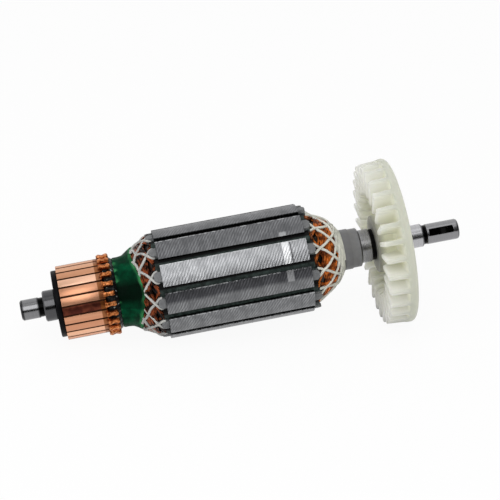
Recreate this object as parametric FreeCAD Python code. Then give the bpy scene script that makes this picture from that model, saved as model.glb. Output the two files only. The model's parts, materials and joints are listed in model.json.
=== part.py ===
import FreeCAD, Part
import os
from math import asin, atan, cos, degrees, hypot, radians, sin, sqrt, tan
from FreeCAD import Vector

# Rotor of a small grinder motor, in millimetres.
# Every piece is first made round the X axis, with x = 0 at the commutator end of the shaft.
# At the end all pieces are turned and lowered together, to lie as the loose rotor rests on a flat surface.
# An angle is read round the shaft, from +Y towards +Z.

# Shaft, from the commutator end to the pinion end
journal_dia = 7.0
journal_length = 6.3
journal_chamfer = 0.5
undercut_dia = 6.6
undercut_length = 1.6
commutator_seat_dia = 8.0
body_dia = 9.0
drive_journal_dia = 8.0
drive_journal_length = 8.2
drive_journal_chamfer = 0.4
drive_relief_dia = 7.6
drive_relief_length = 0.4
groove_dia = 6.65
groove_length = 1.1
pinion_seat_dia = 7.0
pinion_seat_length = 11.5
pinion_seat_round = 0.9
key_width = 2.5
key_depth = 2.4
key_cutter_dia = 10.0
key_setback = 5.15
key_angle = 144.65

# Collar behind the journal
bush_wall = 1.3
bush_length = 4.2
bush_chamfer = 0.4

# Commutator
bar_count = 24
bar_gap_angle = 157.0
bar_gap = 0.45
bar_depth = 3.9
bar_neck_height = 1.1
bar_neck_inset = 1.8
bar_foot_inset = 1.0
bar_slack = 0.1
track_dia = 25.3
track_length = 12.8
track_shoulder = 1.4
tang_length = 3.9
tang_width = 1.4
tang_rise = 1.25
tang_bevel = 0.5
tang_saddle = 0.22
mica_undercut = 0.3
hub_flange_dia = 22.8
hub_flange_thickness = 1.9
hub_rear_drop = 1.65

# Lead wires and the resin over them
lead_dia = 0.8
lead_sides = 6
lead_seat_gap = 0.05
lead_inset = 1.9
winding_setback = 5.9
resin_setback = 1.5
resin_skin = 0.34
resin_gap = 0.05
resin_waist_length = 1.6
resin_flare_length = 1.0
resin_flare_rise = 0.45
resin_cover = 2.7

# Laminated core
slot_count = 12
slot_angle = 157.0
core_dia = 37.4
stack_length = 49.7
slot_opening = 2.2
tooth_lip = 1.0
tooth_shoulder = 1.0
tooth_width = 3.4
slot_depth = 9.5

# Insulation of the core
tube_wall = 1.2
plate_thickness = 0.8
ear_width = 3.4
ear_height = 1.8
ear_inset = 0.8
ear_bevel = 0.9
arm_root = 0.8
liner_thickness = 0.25
cuff_length = 2.2
wedge_thickness = 0.75
wedge_drop = 0.25
wedge_end_length = 1.5
fit_gap = 0.05

# Winding
winding_neck_dia = 24.4
winding_mouth_inset = 2.1
winding_bulge = 0.1
commutator_winding_height = 10.3
fan_winding_height = 12.4
dome_shoulder_length = 1.2
dome_shoulder_drop = 2.8
dome_end_dia = 14.2
dome_bulge = 1.2
dome_parts = 3
bundle_count = 12
bundle_gap = 0.9
bundle_depth = 0.9
bundle_crown = 0.15
bundle_lean = 50.0

# Waxed twine
twine_thickness = 0.8
twine_width = 1.05
twine_lift = 0.25
twine_overrun = 0.8
commutator_twine_bend = 2.6
commutator_twine_angles = (-29.0, -9.0, 6.5)
fan_twine_angles = (6.5, -5.5, -19.0, -33.0)
band_turns = 3
band_cover = 1.6
band_end_length = 0.9
turn_relief = 0.3

# Sleeve, spacer bush and black ring on the fan side
sleeve_wall = 2.45
sleeve_length = 6.1
sleeve_chamfer = 0.4
spacer_wall = 1.2
spacer_length = 4.1
washer_wall = 0.8
washer_thickness = 1.2

# Fan
fan_back_dia = 57.5
fan_tip_dia = 55.6
fan_disc_thickness = 3.0
fan_rim_round = 1.4
fan_hub_length = 9.1
fan_hub_front_dia = 19.6
fan_hub_root_dia = 22.0
vane_count = 29
vane_height = 6.9
vane_thickness = 1.3
vane_inner_dia = 36.0
vane_root_inner_dia = 32.0
vane_setback = 0.05

# Stations along the shaft
at_undercut = journal_length
at_bush = at_undercut + undercut_length
at_flange = at_bush + bush_length
at_bars = at_flange + hub_flange_thickness
at_tang = at_bars + track_length + track_shoulder
at_tang_end = at_tang + tang_length
at_resin = at_tang_end + resin_setback
at_winding = at_tang_end + winding_setback
at_resin_edge = at_winding + resin_cover
at_core = at_winding + commutator_winding_height
at_core_end = at_core + stack_length
at_winding_end = at_core_end + fan_winding_height
at_sleeve = at_winding_end + band_end_length
at_spacer = at_sleeve + sleeve_length
at_washer = at_spacer + spacer_length
at_fan = at_washer + washer_thickness
at_fan_back = at_fan + fan_hub_length
at_groove = at_fan_back + drive_journal_length
at_pinion = at_groove + groove_length
at_end = at_pinion + pinion_seat_length
at_disc = at_fan_back - fan_disc_thickness
at_vane_tips = at_disc - vane_height

# Radii that several pieces share
core_radius = core_dia / 2
tube_radius = body_dia / 2 + tube_wall
track_radius = track_dia / 2
hub_rear_radius = track_radius - hub_rear_drop
mouth_radius = core_radius - winding_mouth_inset
neck_radius = winding_neck_dia / 2
lip_radius = core_radius - tooth_lip
shoulder_radius = lip_radius - tooth_shoulder
slot_root_radius = core_radius - slot_depth
half_tooth_pitch = 180.0 / slot_count
half_vane_pitch = 180.0 / vane_count
ear_reach = plate_thickness + ear_height

AXIS = Vector(1, 0, 0)
ORIGIN = Vector(0, 0, 0)


def at(x, radius, angle):
    """The point at a station, a radius and an angle round the shaft."""
    return Vector(x, radius * cos(radians(angle)), radius * sin(radians(angle)))


def outline(*stops):
    """A closed face from (x, radius) points. A pair of points is an arc: the point it passes and its end."""
    edges = []
    here = stops[0]
    last = stops[-1][-1] if isinstance(stops[-1][0], tuple) else stops[-1]
    closing = () if last == stops[0] else (stops[0],)
    for stop in stops[1:] + closing:
        if isinstance(stop[0], tuple):
            via, end = stop
            ends = [Vector(x, radius, 0) for x, radius in (here, via, end)]
            edges.append(Part.Arc(*ends).toShape())
        else:
            end = stop
            edges.append(Part.LineSegment(Vector(*here, 0), Vector(*end, 0)).toShape())
        here = end
    return Part.Face(Part.Wire(edges))


def turned(*stops):
    """The solid swept once round the shaft's axis by an outline."""
    return outline(*stops).revolve(ORIGIN, AXIS, 360)


def pipe(start, end, outer, inner, chamfer=0.0):
    """A plain ring on the shaft, with an optional chamfer on both outer edges."""
    if not chamfer:
        return turned((start, inner), (start, outer), (end, outer), (end, inner))
    return turned((start, inner), (start, outer - chamfer), (start + chamfer, outer),
                  (end - chamfer, outer), (end, outer - chamfer), (end, inner))


def prism(points, start, end):
    """A straight bar along the shaft, from its section as (radial, sideways) points."""
    corners = [Vector(start, radial, sideways) for radial, sideways in points]
    face = Part.Face(Part.makePolygon(corners + corners[:1]))
    return face.extrude(Vector(end - start, 0, 0))


def mirrored(half):
    """A whole section from its half on the side of positive sideways values, from the root outwards."""
    return half + [(radial, -sideways) for radial, sideways in reversed(half)]


def spun(shape, angle):
    """A copy of a shape, turned about the shaft's axis."""
    copy = shape.copy()
    copy.rotate(ORIGIN, AXIS, angle)
    return copy


def pattern(shape, count, first_angle):
    """Copies of a shape spread evenly round the shaft, the first at an angle."""
    return [spun(shape, first_angle + 360.0 * k / count) for k in range(count)]


def stacked(rings):
    """A solid from rings of points one after another, each side patch folded along a diagonal."""
    faces = [Part.Face(Part.makePolygon(ring + ring[:1])) for ring in (rings[0], rings[-1])]
    for near, far in zip(rings, rings[1:]):
        for k in range(len(near)):
            a, b, c, d = near[k - 1], near[k], far[k], far[k - 1]
            faces += [Part.Face(Part.makePolygon([a, b, c, a])), Part.Face(Part.makePolygon([a, c, d, a]))]
    solid = Part.Solid(Part.Shell(faces))
    if solid.Volume < 0:
        solid.reverse()
    return solid


def bulged(start, end, rise, parts):
    """Points along an arc that stands out from the chord between two (x, radius) points."""
    run, climb = end[0] - start[0], end[1] - start[1]
    chord = hypot(run, climb)
    normal = (-climb / chord, run / chord)
    radius = (chord * chord / 4 + rise * rise) / (2 * rise)
    centre = tuple((a + b) / 2 - (radius - rise) * n for a, b, n in zip(start, end, normal))
    stations = [start[0] + run * k / parts for k in range(1, parts)]
    return [start] + [(x, centre[1] + sqrt(radius ** 2 - (x - centre[0]) ** 2)) for x in stations] + [end]


def radius_on(profile, x):
    """The radius of a profile at a station."""
    for (x0, r0), (x1, r1) in zip(profile, profile[1:]):
        if x <= x1:
            break
    return r0 + (r1 - r0) * (x - x0) / (x1 - x0)


def cut_out(profile, first, last):
    """The stretch of a profile between two stations."""
    inside = [point for point in profile if first < point[0] < last]
    return [(first, radius_on(profile, first))] + inside + [(last, radius_on(profile, last))]


def raised(profile, height):
    """A profile moved outwards, square to each of its faces."""
    normals = []
    for (x0, r0), (x1, r1) in zip(profile, profile[1:]):
        length = hypot(x1 - x0, r1 - r0)
        normals.append(((r0 - r1) / length, (x1 - x0) / length))
    moved = []
    for point, before, after in zip(profile, normals[:1] + normals, normals + normals[-1:]):
        share = height / (1 + before[0] * after[0] + before[1] * after[1])
        moved.append(tuple(c + share * (a + b) for c, a, b in zip(point, before, after)))
    return moved


front_profile = bulged((at_winding, neck_radius), (at_core - cuff_length, mouth_radius), winding_bulge, 2)
dome_profile = bulged(
    (at_core_end + cuff_length + dome_shoulder_length, mouth_radius - dome_shoulder_drop),
    (at_winding_end, dome_end_dia / 2), dome_bulge, dome_parts)
rear_profile = [(at_core_end + cuff_length, mouth_radius)] + dome_profile


def make_shaft():
    """Turned shaft with its two bearing journals, pinion seat and half-moon key slot."""
    journal, undercut = journal_dia / 2, undercut_dia / 2
    seat, body = commutator_seat_dia / 2, body_dia / 2
    drive, relief = drive_journal_dia / 2, drive_relief_dia / 2
    groove, pinion = groove_dia / 2, pinion_seat_dia / 2
    bend = pinion_seat_round * (1 - 1 / sqrt(2))
    shaft = turned(
        (0, 0), (0, journal - journal_chamfer), (journal_chamfer, journal),
        (at_undercut, journal), (at_undercut, undercut), (at_bush, undercut),
        (at_bush, seat), (at_tang_end, seat), (at_tang_end, body), (at_fan_back, body),
        (at_fan_back, relief), (at_fan_back + drive_relief_length, relief),
        (at_fan_back + drive_relief_length, drive), (at_groove - drive_journal_chamfer, drive),
        (at_groove, drive - drive_journal_chamfer), (at_groove, groove), (at_pinion, groove),
        (at_pinion, pinion - journal_chamfer / 2), (at_pinion + journal_chamfer / 2, pinion),
        (at_end - pinion_seat_round, pinion),
        ((at_end - bend, pinion - bend), (at_end, pinion - pinion_seat_round)), (at_end, 0))
    cutter_radius = key_cutter_dia / 2
    cutter_centre = Vector(at_pinion + key_setback, pinion - key_depth + cutter_radius, -key_width / 2)
    cutter = Part.makeCylinder(cutter_radius, key_width, cutter_centre, Vector(0, 0, 1))
    return shaft.cut(spun(cutter, key_angle))


def bar_root(slack=0.0):
    """The dovetail line between the bars and the hub, from the front to the back."""
    foot = track_radius - bar_depth
    neck = foot + bar_neck_height
    inset, foot_inset = bar_neck_inset - slack, bar_foot_inset - slack
    front = [(at_bars, neck), (at_bars + inset, neck), (at_bars + foot_inset, foot)]
    back = [(at_bars + at_tang - x, radius) for x, radius in reversed(front)]
    return front + back


def make_bars():
    """One bar with its dovetail root and its tang, copied round the commutator."""
    half_pitch = radians(180.0 / bar_count)
    top = track_radius + tang_rise
    side = top * tan(half_pitch) - bar_gap / 2 / cos(half_pitch)
    tip = bar_gap / 2 / sin(half_pitch)
    block = outline(*bar_root(), (at_tang, top), (at_bars, top)).extrude(Vector(0, 0, 2 * side))
    block.translate(Vector(0, 0, -side))
    sector = prism([(tip, 0), (top, -side), (top, side)], at_bars, at_tang)
    track = Part.makeCylinder(track_radius, at_tang - at_bars, Vector(at_bars, 0, 0), AXIS)
    saddle = ((at_tang + at_tang_end) / 2, top - tang_saddle)
    tang = outline(
        (at_tang, hub_rear_radius), (at_tang, top - tang_bevel), (at_tang + tang_bevel, top), saddle,
        (at_tang_end - tang_bevel, top), (at_tang_end, top - tang_bevel),
        (at_tang_end, hub_rear_radius)).extrude(Vector(0, 0, tang_width))
    tang.translate(Vector(0, 0, -tang_width / 2))
    bar = block.common(sector).common(track).fuse(tang)
    return pattern(bar, bar_count, bar_gap_angle + 180.0 / bar_count)


def make_mica():
    """The strips between the bars, a little lower than the brush track."""
    inner = track_radius - bar_depth + bar_neck_height
    outer = track_radius - mica_undercut
    strip = prism(mirrored([(inner, bar_gap / 2), (outer, bar_gap / 2)]), at_bars, at_tang)
    return Part.makeCompound(pattern(strip, bar_count, bar_gap_angle))


def make_hub():
    """The moulded hub: a front flange, a groove that locks the bars, and a rear ring under the tangs."""
    bore = commutator_seat_dia / 2
    flange = hub_flange_dia / 2
    return turned(
        (at_flange, bore), (at_flange, flange), (at_bars, flange), *bar_root(bar_slack),
        (at_tang, hub_rear_radius), (at_tang_end, hub_rear_radius), (at_tang_end, bore))


lead_start_radius = hub_rear_radius + lead_dia / 2 + lead_seat_gap
lead_end_radius = neck_radius - lead_inset
lead_slope = (lead_end_radius - lead_start_radius) / winding_setback


def make_leads():
    """One wire from each tang down to the winding, cut square to the shaft at both ends."""
    corners = [at(at_tang_end, lead_dia / 2, 360.0 * k / lead_sides) for k in range(lead_sides)]
    section = Part.Face(Part.makePolygon(corners + corners[:1]))
    section.translate(Vector(0, lead_start_radius, 0))
    lead = section.extrude(Vector(winding_setback, lead_end_radius - lead_start_radius, 0))
    return Part.makeCompound(pattern(lead, bar_count, bar_gap_angle + 180.0 / bar_count))


def make_resin():
    """The brushed-on resin: a waist over the leads, and a skin over the winding's neck."""
    cover = lead_dia / 2 + resin_gap
    under_start = lead_start_radius + lead_slope * resin_setback + cover
    under_end = lead_end_radius + cover
    waist = under_start + resin_skin
    flare = at_winding - resin_flare_length
    covered = cut_out(front_profile, at_winding, at_resin_edge)
    skin = raised(covered, twine_thickness)
    return turned(
        (at_resin, under_start), (at_resin, waist), (at_resin + resin_waist_length, waist),
        (flare, waist + resin_flare_rise), *skin[:-1], (at_resin_edge, skin[-1][1]),
        *reversed(covered), (at_winding, under_end))


def slot_side(radial, inset=0.0):
    """Half the slot's width at a radius, less an inset square to the tooth's flank."""
    lean = radians(half_tooth_pitch)
    return radial * tan(lean) - (tooth_width / 2 + inset) / cos(lean)


slot_section = mirrored([(slot_root_radius, slot_side(slot_root_radius)),
                         (shoulder_radius, slot_side(shoulder_radius)),
                         (lip_radius, slot_opening / 2), (core_radius + tooth_lip, slot_opening / 2)])


def make_stack():
    """The stack of laminations: bore, teeth with their tips, and straight slots."""
    blank = pipe(at_core, at_core_end, core_radius, tube_radius)
    return blank.cut(pattern(prism(slot_section, at_core, at_core_end), slot_count, slot_angle))


def make_plate(face, outwards):
    """An end insulator: a ring with an arm over each tooth, and a bevelled ear at the tip of each arm."""
    side = ear_width / 2
    outer = sqrt((core_radius - ear_inset) ** 2 - side ** 2)
    inner = mouth_radius + fit_gap
    plate_end = face + outwards * plate_thickness
    ring = pipe(min(face, plate_end), max(face, plate_end), slot_root_radius, tube_radius + fit_gap)
    arm = prism(mirrored([(slot_root_radius - arm_root, side), (outer, side)]), face, plate_end)
    tip = face + outwards * ear_reach
    shoulder = tip - outwards * ear_bevel
    ear = outline(
        (face, -side), (shoulder, -side), (tip, -side + ear_bevel), (tip, side - ear_bevel),
        (shoulder, side), (face, side))
    ear.rotate(ORIGIN, AXIS, 90)
    ear.translate(Vector(0, inner, 0))
    arm = arm.fuse(ear.extrude(Vector(0, outer - inner, 0))).removeSplitter()
    return ring.fuse(pattern(arm, slot_count, slot_angle + half_tooth_pitch))


def make_liners():
    """Folded sheet in each slot, standing out at both ends as a cuff."""
    low = slot_root_radius + fit_gap
    outside = mirrored([(low, slot_side(low, fit_gap)),
                        (shoulder_radius, slot_side(shoulder_radius, fit_gap))])
    inset = fit_gap + liner_thickness
    floor = low + liner_thickness
    inside = mirrored([(floor, slot_side(floor, inset)), (core_radius, slot_side(core_radius, inset))])
    start, end = at_core - cuff_length, at_core_end + cuff_length
    liner = prism(outside, start, end).cut(prism(inside, start, end))
    return Part.makeCompound(pattern(liner, slot_count, slot_angle))


wedge_floor = shoulder_radius - wedge_thickness + wedge_drop


def make_wedges():
    """The strip that closes each slot, held under the tooth tips."""
    inset = 2 * fit_gap + liner_thickness
    top = lip_radius - wedge_drop
    slope = (slot_side(shoulder_radius) - slot_opening / 2) / tooth_shoulder
    narrow = slot_opening / 2 + slope * wedge_drop - inset
    section = mirrored([(wedge_floor, slot_side(wedge_floor, inset)),
                        (shoulder_radius, slot_side(shoulder_radius, inset)), (top, narrow)])
    wedge = prism(section, at_core - wedge_end_length, at_core_end + wedge_end_length)
    return Part.makeCompound(pattern(wedge, slot_count, slot_angle))


def bundled(profile, lean):
    """A closed heap of wire bundles over a profile, each bundle leaning round the shaft as it goes along."""
    length = profile[-1][0] - profile[0][0]
    pitch = 360.0 / bundle_count
    rings = []
    for x, radius in profile:
        turn = slot_angle + lean * (x - profile[0][0]) / length
        groove = radius - bundle_depth
        edge = degrees(bundle_gap / radius)
        ring = []
        for k in range(bundle_count):
            start = turn + pitch * k
            low = radius - bundle_crown
            ring += [at(x, groove, start), at(x, low, start + edge)]
            ring += [at(x, radius, start + (pitch + edge) / 2), at(x, low, start + pitch - edge / 2)]
        rings.append(ring)
    return stacked(rings)


def make_winding():
    """Coil sides in the slots, joined at both ends by a heap of slanting wire bundles."""
    bore = tube_radius + 2 * fit_gap
    front_face, rear_face = front_profile[-1][0], rear_profile[0][0]
    hole = Part.makeCylinder(bore, at_winding_end - at_winding, Vector(at_winding, 0, 0), AXIS)
    inset = 2 * fit_gap + liner_thickness
    low = slot_root_radius + inset
    high = wedge_floor - fit_gap
    section = mirrored([(low, slot_side(low, inset)), (high, slot_side(high, inset))])
    sides = pattern(prism(section, front_face, rear_face), slot_count, slot_angle)
    front = bundled(front_profile, bundle_lean)
    return front.fuse([bundled(rear_profile, -bundle_lean)] + sides).cut(hole)


def strand(route, angles):
    """A run of flat twine over a route of (x, radius) points, with its angle round the shaft at each."""
    under, over = raised(route, twine_lift), raised(route, twine_lift + twine_thickness)
    rings = []
    for k, (point, angle) in enumerate(zip(route, angles)):
        before, after = max(k - 1, 0), min(k + 1, len(route) - 1)
        forward = hypot(route[after][0] - route[before][0], route[after][1] - route[before][1])
        across = point[1] * radians(angles[after] - angles[before])
        half = degrees(twine_width / 2 * hypot(forward, across) / forward / point[1])
        rings.append([at(*under[k], angle - half), at(*under[k], angle + half),
                      at(*over[k], angle + half), at(*over[k], angle - half)])
    return stacked(rings)


def net(route, angles):
    """The two legs of twine that leave each ear and cross in front of it, joined wherever legs meet."""
    legs = []
    for hand in (1, -1):
        leg = strand(route, [hand * angle for angle in angles])
        legs += pattern(leg, slot_count, slot_angle + half_tooth_pitch)
    return legs[0].fuse(legs[1:])


def make_front_lacing():
    """Twine net on the commutator side. Its inner end meets the resin."""
    foot = at_core - ear_reach - fit_gap
    stations = (at_resin_edge - twine_overrun, at_resin_edge + commutator_twine_bend, foot)
    route = [(x, radius_on(front_profile, x)) for x in stations]
    bounds = pipe(at_resin_edge, foot, core_radius, tube_radius)
    return net(route, commutator_twine_angles).common(bounds)


def make_rear_lacing():
    """Twine net on the fan side, tied down by turns round the end of the winding."""
    foot = at_core_end + ear_reach + fit_gap
    band_start = at_winding_end - band_cover
    stations = [foot] + [x for x, radius in dome_profile[1:-1]] + [band_start + twine_overrun]
    route = [(x, radius_on(rear_profile, x)) for x in stations]
    legs = net(route, fan_twine_angles).common(pipe(foot, band_start, core_radius, tube_radius))
    under = cut_out(rear_profile, band_start, at_winding_end)
    begin = (band_start, raised(under, twine_thickness)[0][1])
    finish = (at_sleeve, dome_end_dia / 2 + twine_thickness / 2)
    length = hypot(finish[0] - begin[0], finish[1] - begin[1])
    crest = tuple(sign * step * turn_relief / length
                  for sign, step in ((-1, finish[1] - begin[1]), (1, finish[0] - begin[0])))
    turns = []
    for k in range(2 * band_turns + 1):
        share = k / (2 * band_turns)
        turns.append(tuple(a + (b - a) * share + (k % 2) * c for a, b, c in zip(begin, finish, crest)))
    bore = tube_radius + 2 * fit_gap
    band = turned(under[0], *turns, (at_sleeve, bore), (at_winding_end, bore), *reversed(under[1:]))
    return legs.fuse(band)


def make_fan():
    """Moulded fan: back disc with a rounded rim, conical hub, and straight radial vanes."""
    bore = body_dia / 2
    tip, back = fan_tip_dia / 2, fan_back_dia / 2
    full_height = fan_disc_thickness + vane_height
    disc_edge = tip + (back - tip) * vane_height / full_height
    round_start = tip + (back - tip) * (full_height - fan_rim_round) / full_height
    bend = fan_rim_round * (1 - 1 / sqrt(2))
    body = turned(
        (at_fan, bore), (at_fan, fan_hub_front_dia / 2), (at_disc, fan_hub_root_dia / 2),
        (at_disc, disc_edge), (at_fan_back - fan_rim_round, round_start),
        ((at_fan_back - bend, round_start - bend), (at_fan_back, round_start - fan_rim_round)),
        (at_fan_back, bore))
    vane = outline(
        (at_vane_tips, vane_inner_dia / 2), (at_vane_tips, tip), (at_disc, disc_edge - vane_setback),
        (at_disc, vane_root_inner_dia / 2)).extrude(Vector(0, 0, vane_thickness))
    vane.translate(Vector(0, 0, -vane_thickness / 2))
    return body.fuse(pattern(vane, vane_count, -90.0 + half_vane_pitch))


def rest_placement(shaft):
    """Where the loose rotor lies: on its core's front edge and on the corners of two vanes."""
    tip = fan_tip_dia / 2
    corner_angle = radians(half_vane_pitch) - asin(vane_thickness / 2 / tip)
    tip_drop = tip * cos(corner_angle)
    tilt = atan((tip_drop - core_radius) / (at_vane_tips - at_core))
    turn = FreeCAD.Rotation(Vector(0, 1, 0), -degrees(tilt))
    lift = core_radius * cos(tilt) - at_core * sin(tilt)
    lain = shaft.copy()
    lain.Placement = FreeCAD.Placement(Vector(0, 0, 0), turn)
    box = lain.optimalBoundingBox(False)
    return FreeCAD.Placement(Vector(-box.Center.x, 0, lift), turn)


def make_nodes():
    """Every piece by its name, still round the X axis."""
    bore = commutator_seat_dia / 2
    body = body_dia / 2
    nodes = {
        "shaft": make_shaft(),
        "commutator_bush": pipe(at_bush, at_flange, bore + bush_wall, bore, bush_chamfer),
        "commutator_hub": make_hub(),
        "commutator_mica": make_mica(),
        "lead_wires": make_leads(),
        "resin_band": make_resin(),
        "lamination_stack": make_stack(),
        "shaft_insulation": pipe(at_tang_end, at_sleeve, tube_radius, body),
        "end_insulator_commutator_side": make_plate(at_core, -1),
        "end_insulator_fan_side": make_plate(at_core_end, 1),
        "slot_liners": make_liners(),
        "slot_wedges": make_wedges(),
        "armature_winding": make_winding(),
        "lacing_commutator_end": make_front_lacing(),
        "lacing_fan_end": make_rear_lacing(),
        "insulating_sleeve": pipe(at_sleeve, at_spacer, body + sleeve_wall, body, sleeve_chamfer),
        "fan_bush": pipe(at_spacer, at_washer, body + spacer_wall, body, bush_chamfer),
        "fan_washer": pipe(at_washer, at_fan, body + washer_wall, body),
        "fan": make_fan(),
    }
    for number, bar in enumerate(make_bars(), 1):
        nodes["commutator_bar_%02d" % number] = bar
    return nodes


def main():
    nodes = make_nodes()
    rest = rest_placement(nodes["shaft"])
    os.makedirs("parts", exist_ok=True)
    for name, shape in nodes.items():
        shape.Placement = rest.multiply(shape.Placement)
        shape.exportStep("parts/" + name + ".step")


main()
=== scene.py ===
# %% [markdown]
# # A wound rotor, dressed for its photograph
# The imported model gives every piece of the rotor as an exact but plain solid. This script loads it, gives
# each piece its finish, and swaps the pieces whose looks need more than a solid, such as the twine, the
# wires and the brushed-on resin, for richer ones made here.

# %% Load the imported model
import json
import math
import random
import bmesh
import bpy
from mathutils import Matrix, Vector, noise


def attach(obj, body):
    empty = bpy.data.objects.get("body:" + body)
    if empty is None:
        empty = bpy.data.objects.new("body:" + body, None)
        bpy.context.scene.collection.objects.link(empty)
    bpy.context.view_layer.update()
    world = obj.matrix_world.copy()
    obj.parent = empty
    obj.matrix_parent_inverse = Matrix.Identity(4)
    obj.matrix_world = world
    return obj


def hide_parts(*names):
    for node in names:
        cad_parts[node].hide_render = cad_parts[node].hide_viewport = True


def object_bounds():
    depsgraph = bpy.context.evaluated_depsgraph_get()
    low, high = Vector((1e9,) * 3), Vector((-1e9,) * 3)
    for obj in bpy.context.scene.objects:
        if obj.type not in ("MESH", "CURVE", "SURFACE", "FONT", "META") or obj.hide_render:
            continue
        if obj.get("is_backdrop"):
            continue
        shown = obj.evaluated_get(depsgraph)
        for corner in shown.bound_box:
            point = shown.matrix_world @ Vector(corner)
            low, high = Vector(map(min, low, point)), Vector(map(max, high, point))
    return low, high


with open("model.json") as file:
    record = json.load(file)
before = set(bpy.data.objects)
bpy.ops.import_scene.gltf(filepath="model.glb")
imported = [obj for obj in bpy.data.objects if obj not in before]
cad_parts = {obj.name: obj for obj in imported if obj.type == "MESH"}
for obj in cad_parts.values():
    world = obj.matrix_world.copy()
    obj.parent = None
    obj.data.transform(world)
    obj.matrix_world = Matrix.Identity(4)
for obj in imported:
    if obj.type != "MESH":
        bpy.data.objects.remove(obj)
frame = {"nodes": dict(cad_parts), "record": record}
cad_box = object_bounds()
print("nodes", len(frame["nodes"]))

# %% [markdown]
# Every piece of a rotor is round the shaft, so everything is easiest to describe from the shaft's own
# end. The mounts in the record say where the axis runs. From one of them comes a matrix that places a
# piece made in millimetres, with x along the shaft, into the leaning rotor in metres. Turned the other
# way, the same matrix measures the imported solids, so that what is made here starts and ends where they
# do.

# %% The shaft's own frame
MM = 0.001
JOURNAL_MIDDLE = 3.4  # from the end of the shaft to the middle of its first journal, where the mount is
journal = next(m for m in frame["record"]["mounts"] if m["name"] == "commutator_end_journal")
AXIS = -Vector(journal["axis"])
SHAFT_END = Vector(journal["pos_m"]) - AXIS * JOURNAL_MIDDLE * MM
TILT = math.atan2(AXIS.z, AXIS.x)
PLACE = Matrix.Translation(SHAFT_END) @ Matrix.Rotation(-TILT, 4, "Y") @ Matrix.Scale(MM, 4)


def at(x, radius, angle):
    """A point in millimetres at a station, a radius and an angle in degrees from +Y towards +Z."""
    turn = math.radians(angle)
    return Vector((x, radius * math.cos(turn), radius * math.sin(turn)))


def measured(name):
    """The start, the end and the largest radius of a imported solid, in shaft millimetres."""
    points = [PLACE.inverted() @ vertex.co for vertex in frame["nodes"][name].data.vertices]
    stations = [point.x for point in points]
    radius = max(math.hypot(point.y, point.z) for point in points)
    return round(min(stations), 1), round(max(stations), 1), round(radius, 1)


print("the axis climbs %.2f degrees" % math.degrees(TILT))
SHAFT_RADIUS = measured("shaft")[2]
print("the shaft reaches", SHAFT_RADIUS, "and the core", measured("lamination_stack")[2])

# %% [markdown]
# A finish is a small graph of shader nodes, and a piece that grows is a graph of geometry nodes. Written
# out link by link, either takes dozens of lines. One helper adds a node and fills its sockets, so that
# each graph below reads as a list of what it is made of.

# %% Node helper
def add(tree, kind, *values, **settings):
    """Adds a node. Values fill its inputs in order and settings by name, as constants or as links."""
    made = tree.nodes.new(kind)
    for name in [name for name in settings if hasattr(made, name)]:
        setattr(made, name, settings.pop(name))
    pairs = list(zip(made.inputs, values))
    pairs += [(made.inputs[name.replace("_", " ")], value) for name, value in settings.items()]
    for socket, value in pairs:
        if isinstance(value, bpy.types.NodeSocket):
            tree.links.new(value, socket)
        elif value is not None:
            socket.default_value = value
    return made


# %% [markdown]
# Turning marks run round the shaft and lamination lines run across it, so the finishes need to know how
# far along and how far round a point is. A UV map could say so, but every piece would need one. This node
# group works it out from Object coordinates instead, for all of them.

# %% Shaft coordinates for the finishes
def shaft_coordinates():
    """A group that gives x and radius in millimetres, the angle, and the point in the shaft's own frame."""
    group = bpy.data.node_groups.new("shaft coordinates", "ShaderNodeTree")
    for name, kind in (("Along", "Float"), ("Radius", "Float"), ("Angle", "Float"), ("Straight", "Vector")):
        group.interface.new_socket(name, in_out="OUTPUT", socket_type="NodeSocket" + kind)
    turn = Matrix.Rotation(TILT, 3, "Y")
    where = add(group, "ShaderNodeTexCoord").outputs["Object"]
    local = add(group, "ShaderNodeMapping", Vector=where, Location=-(turn @ SHAFT_END) / MM,
                Rotation=(0, TILT, 0), Scale=(1 / MM,) * 3).outputs[0]
    parts = add(group, "ShaderNodeSeparateXYZ", local).outputs
    angle = add(group, "ShaderNodeMath", parts[2], parts[1], operation="ARCTAN2").outputs[0]
    flat = add(group, "ShaderNodeCombineXYZ", 0.0, parts[1], parts[2]).outputs[0]
    radius = add(group, "ShaderNodeVectorMath", flat, operation="LENGTH").outputs["Value"]
    add(group, "NodeGroupOutput", parts[0], radius, angle, local)
    return group


SHAFT_COORDINATES = shaft_coordinates()
print("shaft coordinates:", [item.name for item in SHAFT_COORDINATES.interface.items_tree])

# %% [markdown]
# All finishes are put together from the same few moves: a noise, a ramp of tones, a mix, a relief. A
# class keeps the tree in one place and gives each move a short name.

# %% A finish being put together
NOISE_MIDDLE = (0.3, 0.7)  # nearly all values of a noise lie between these


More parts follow.
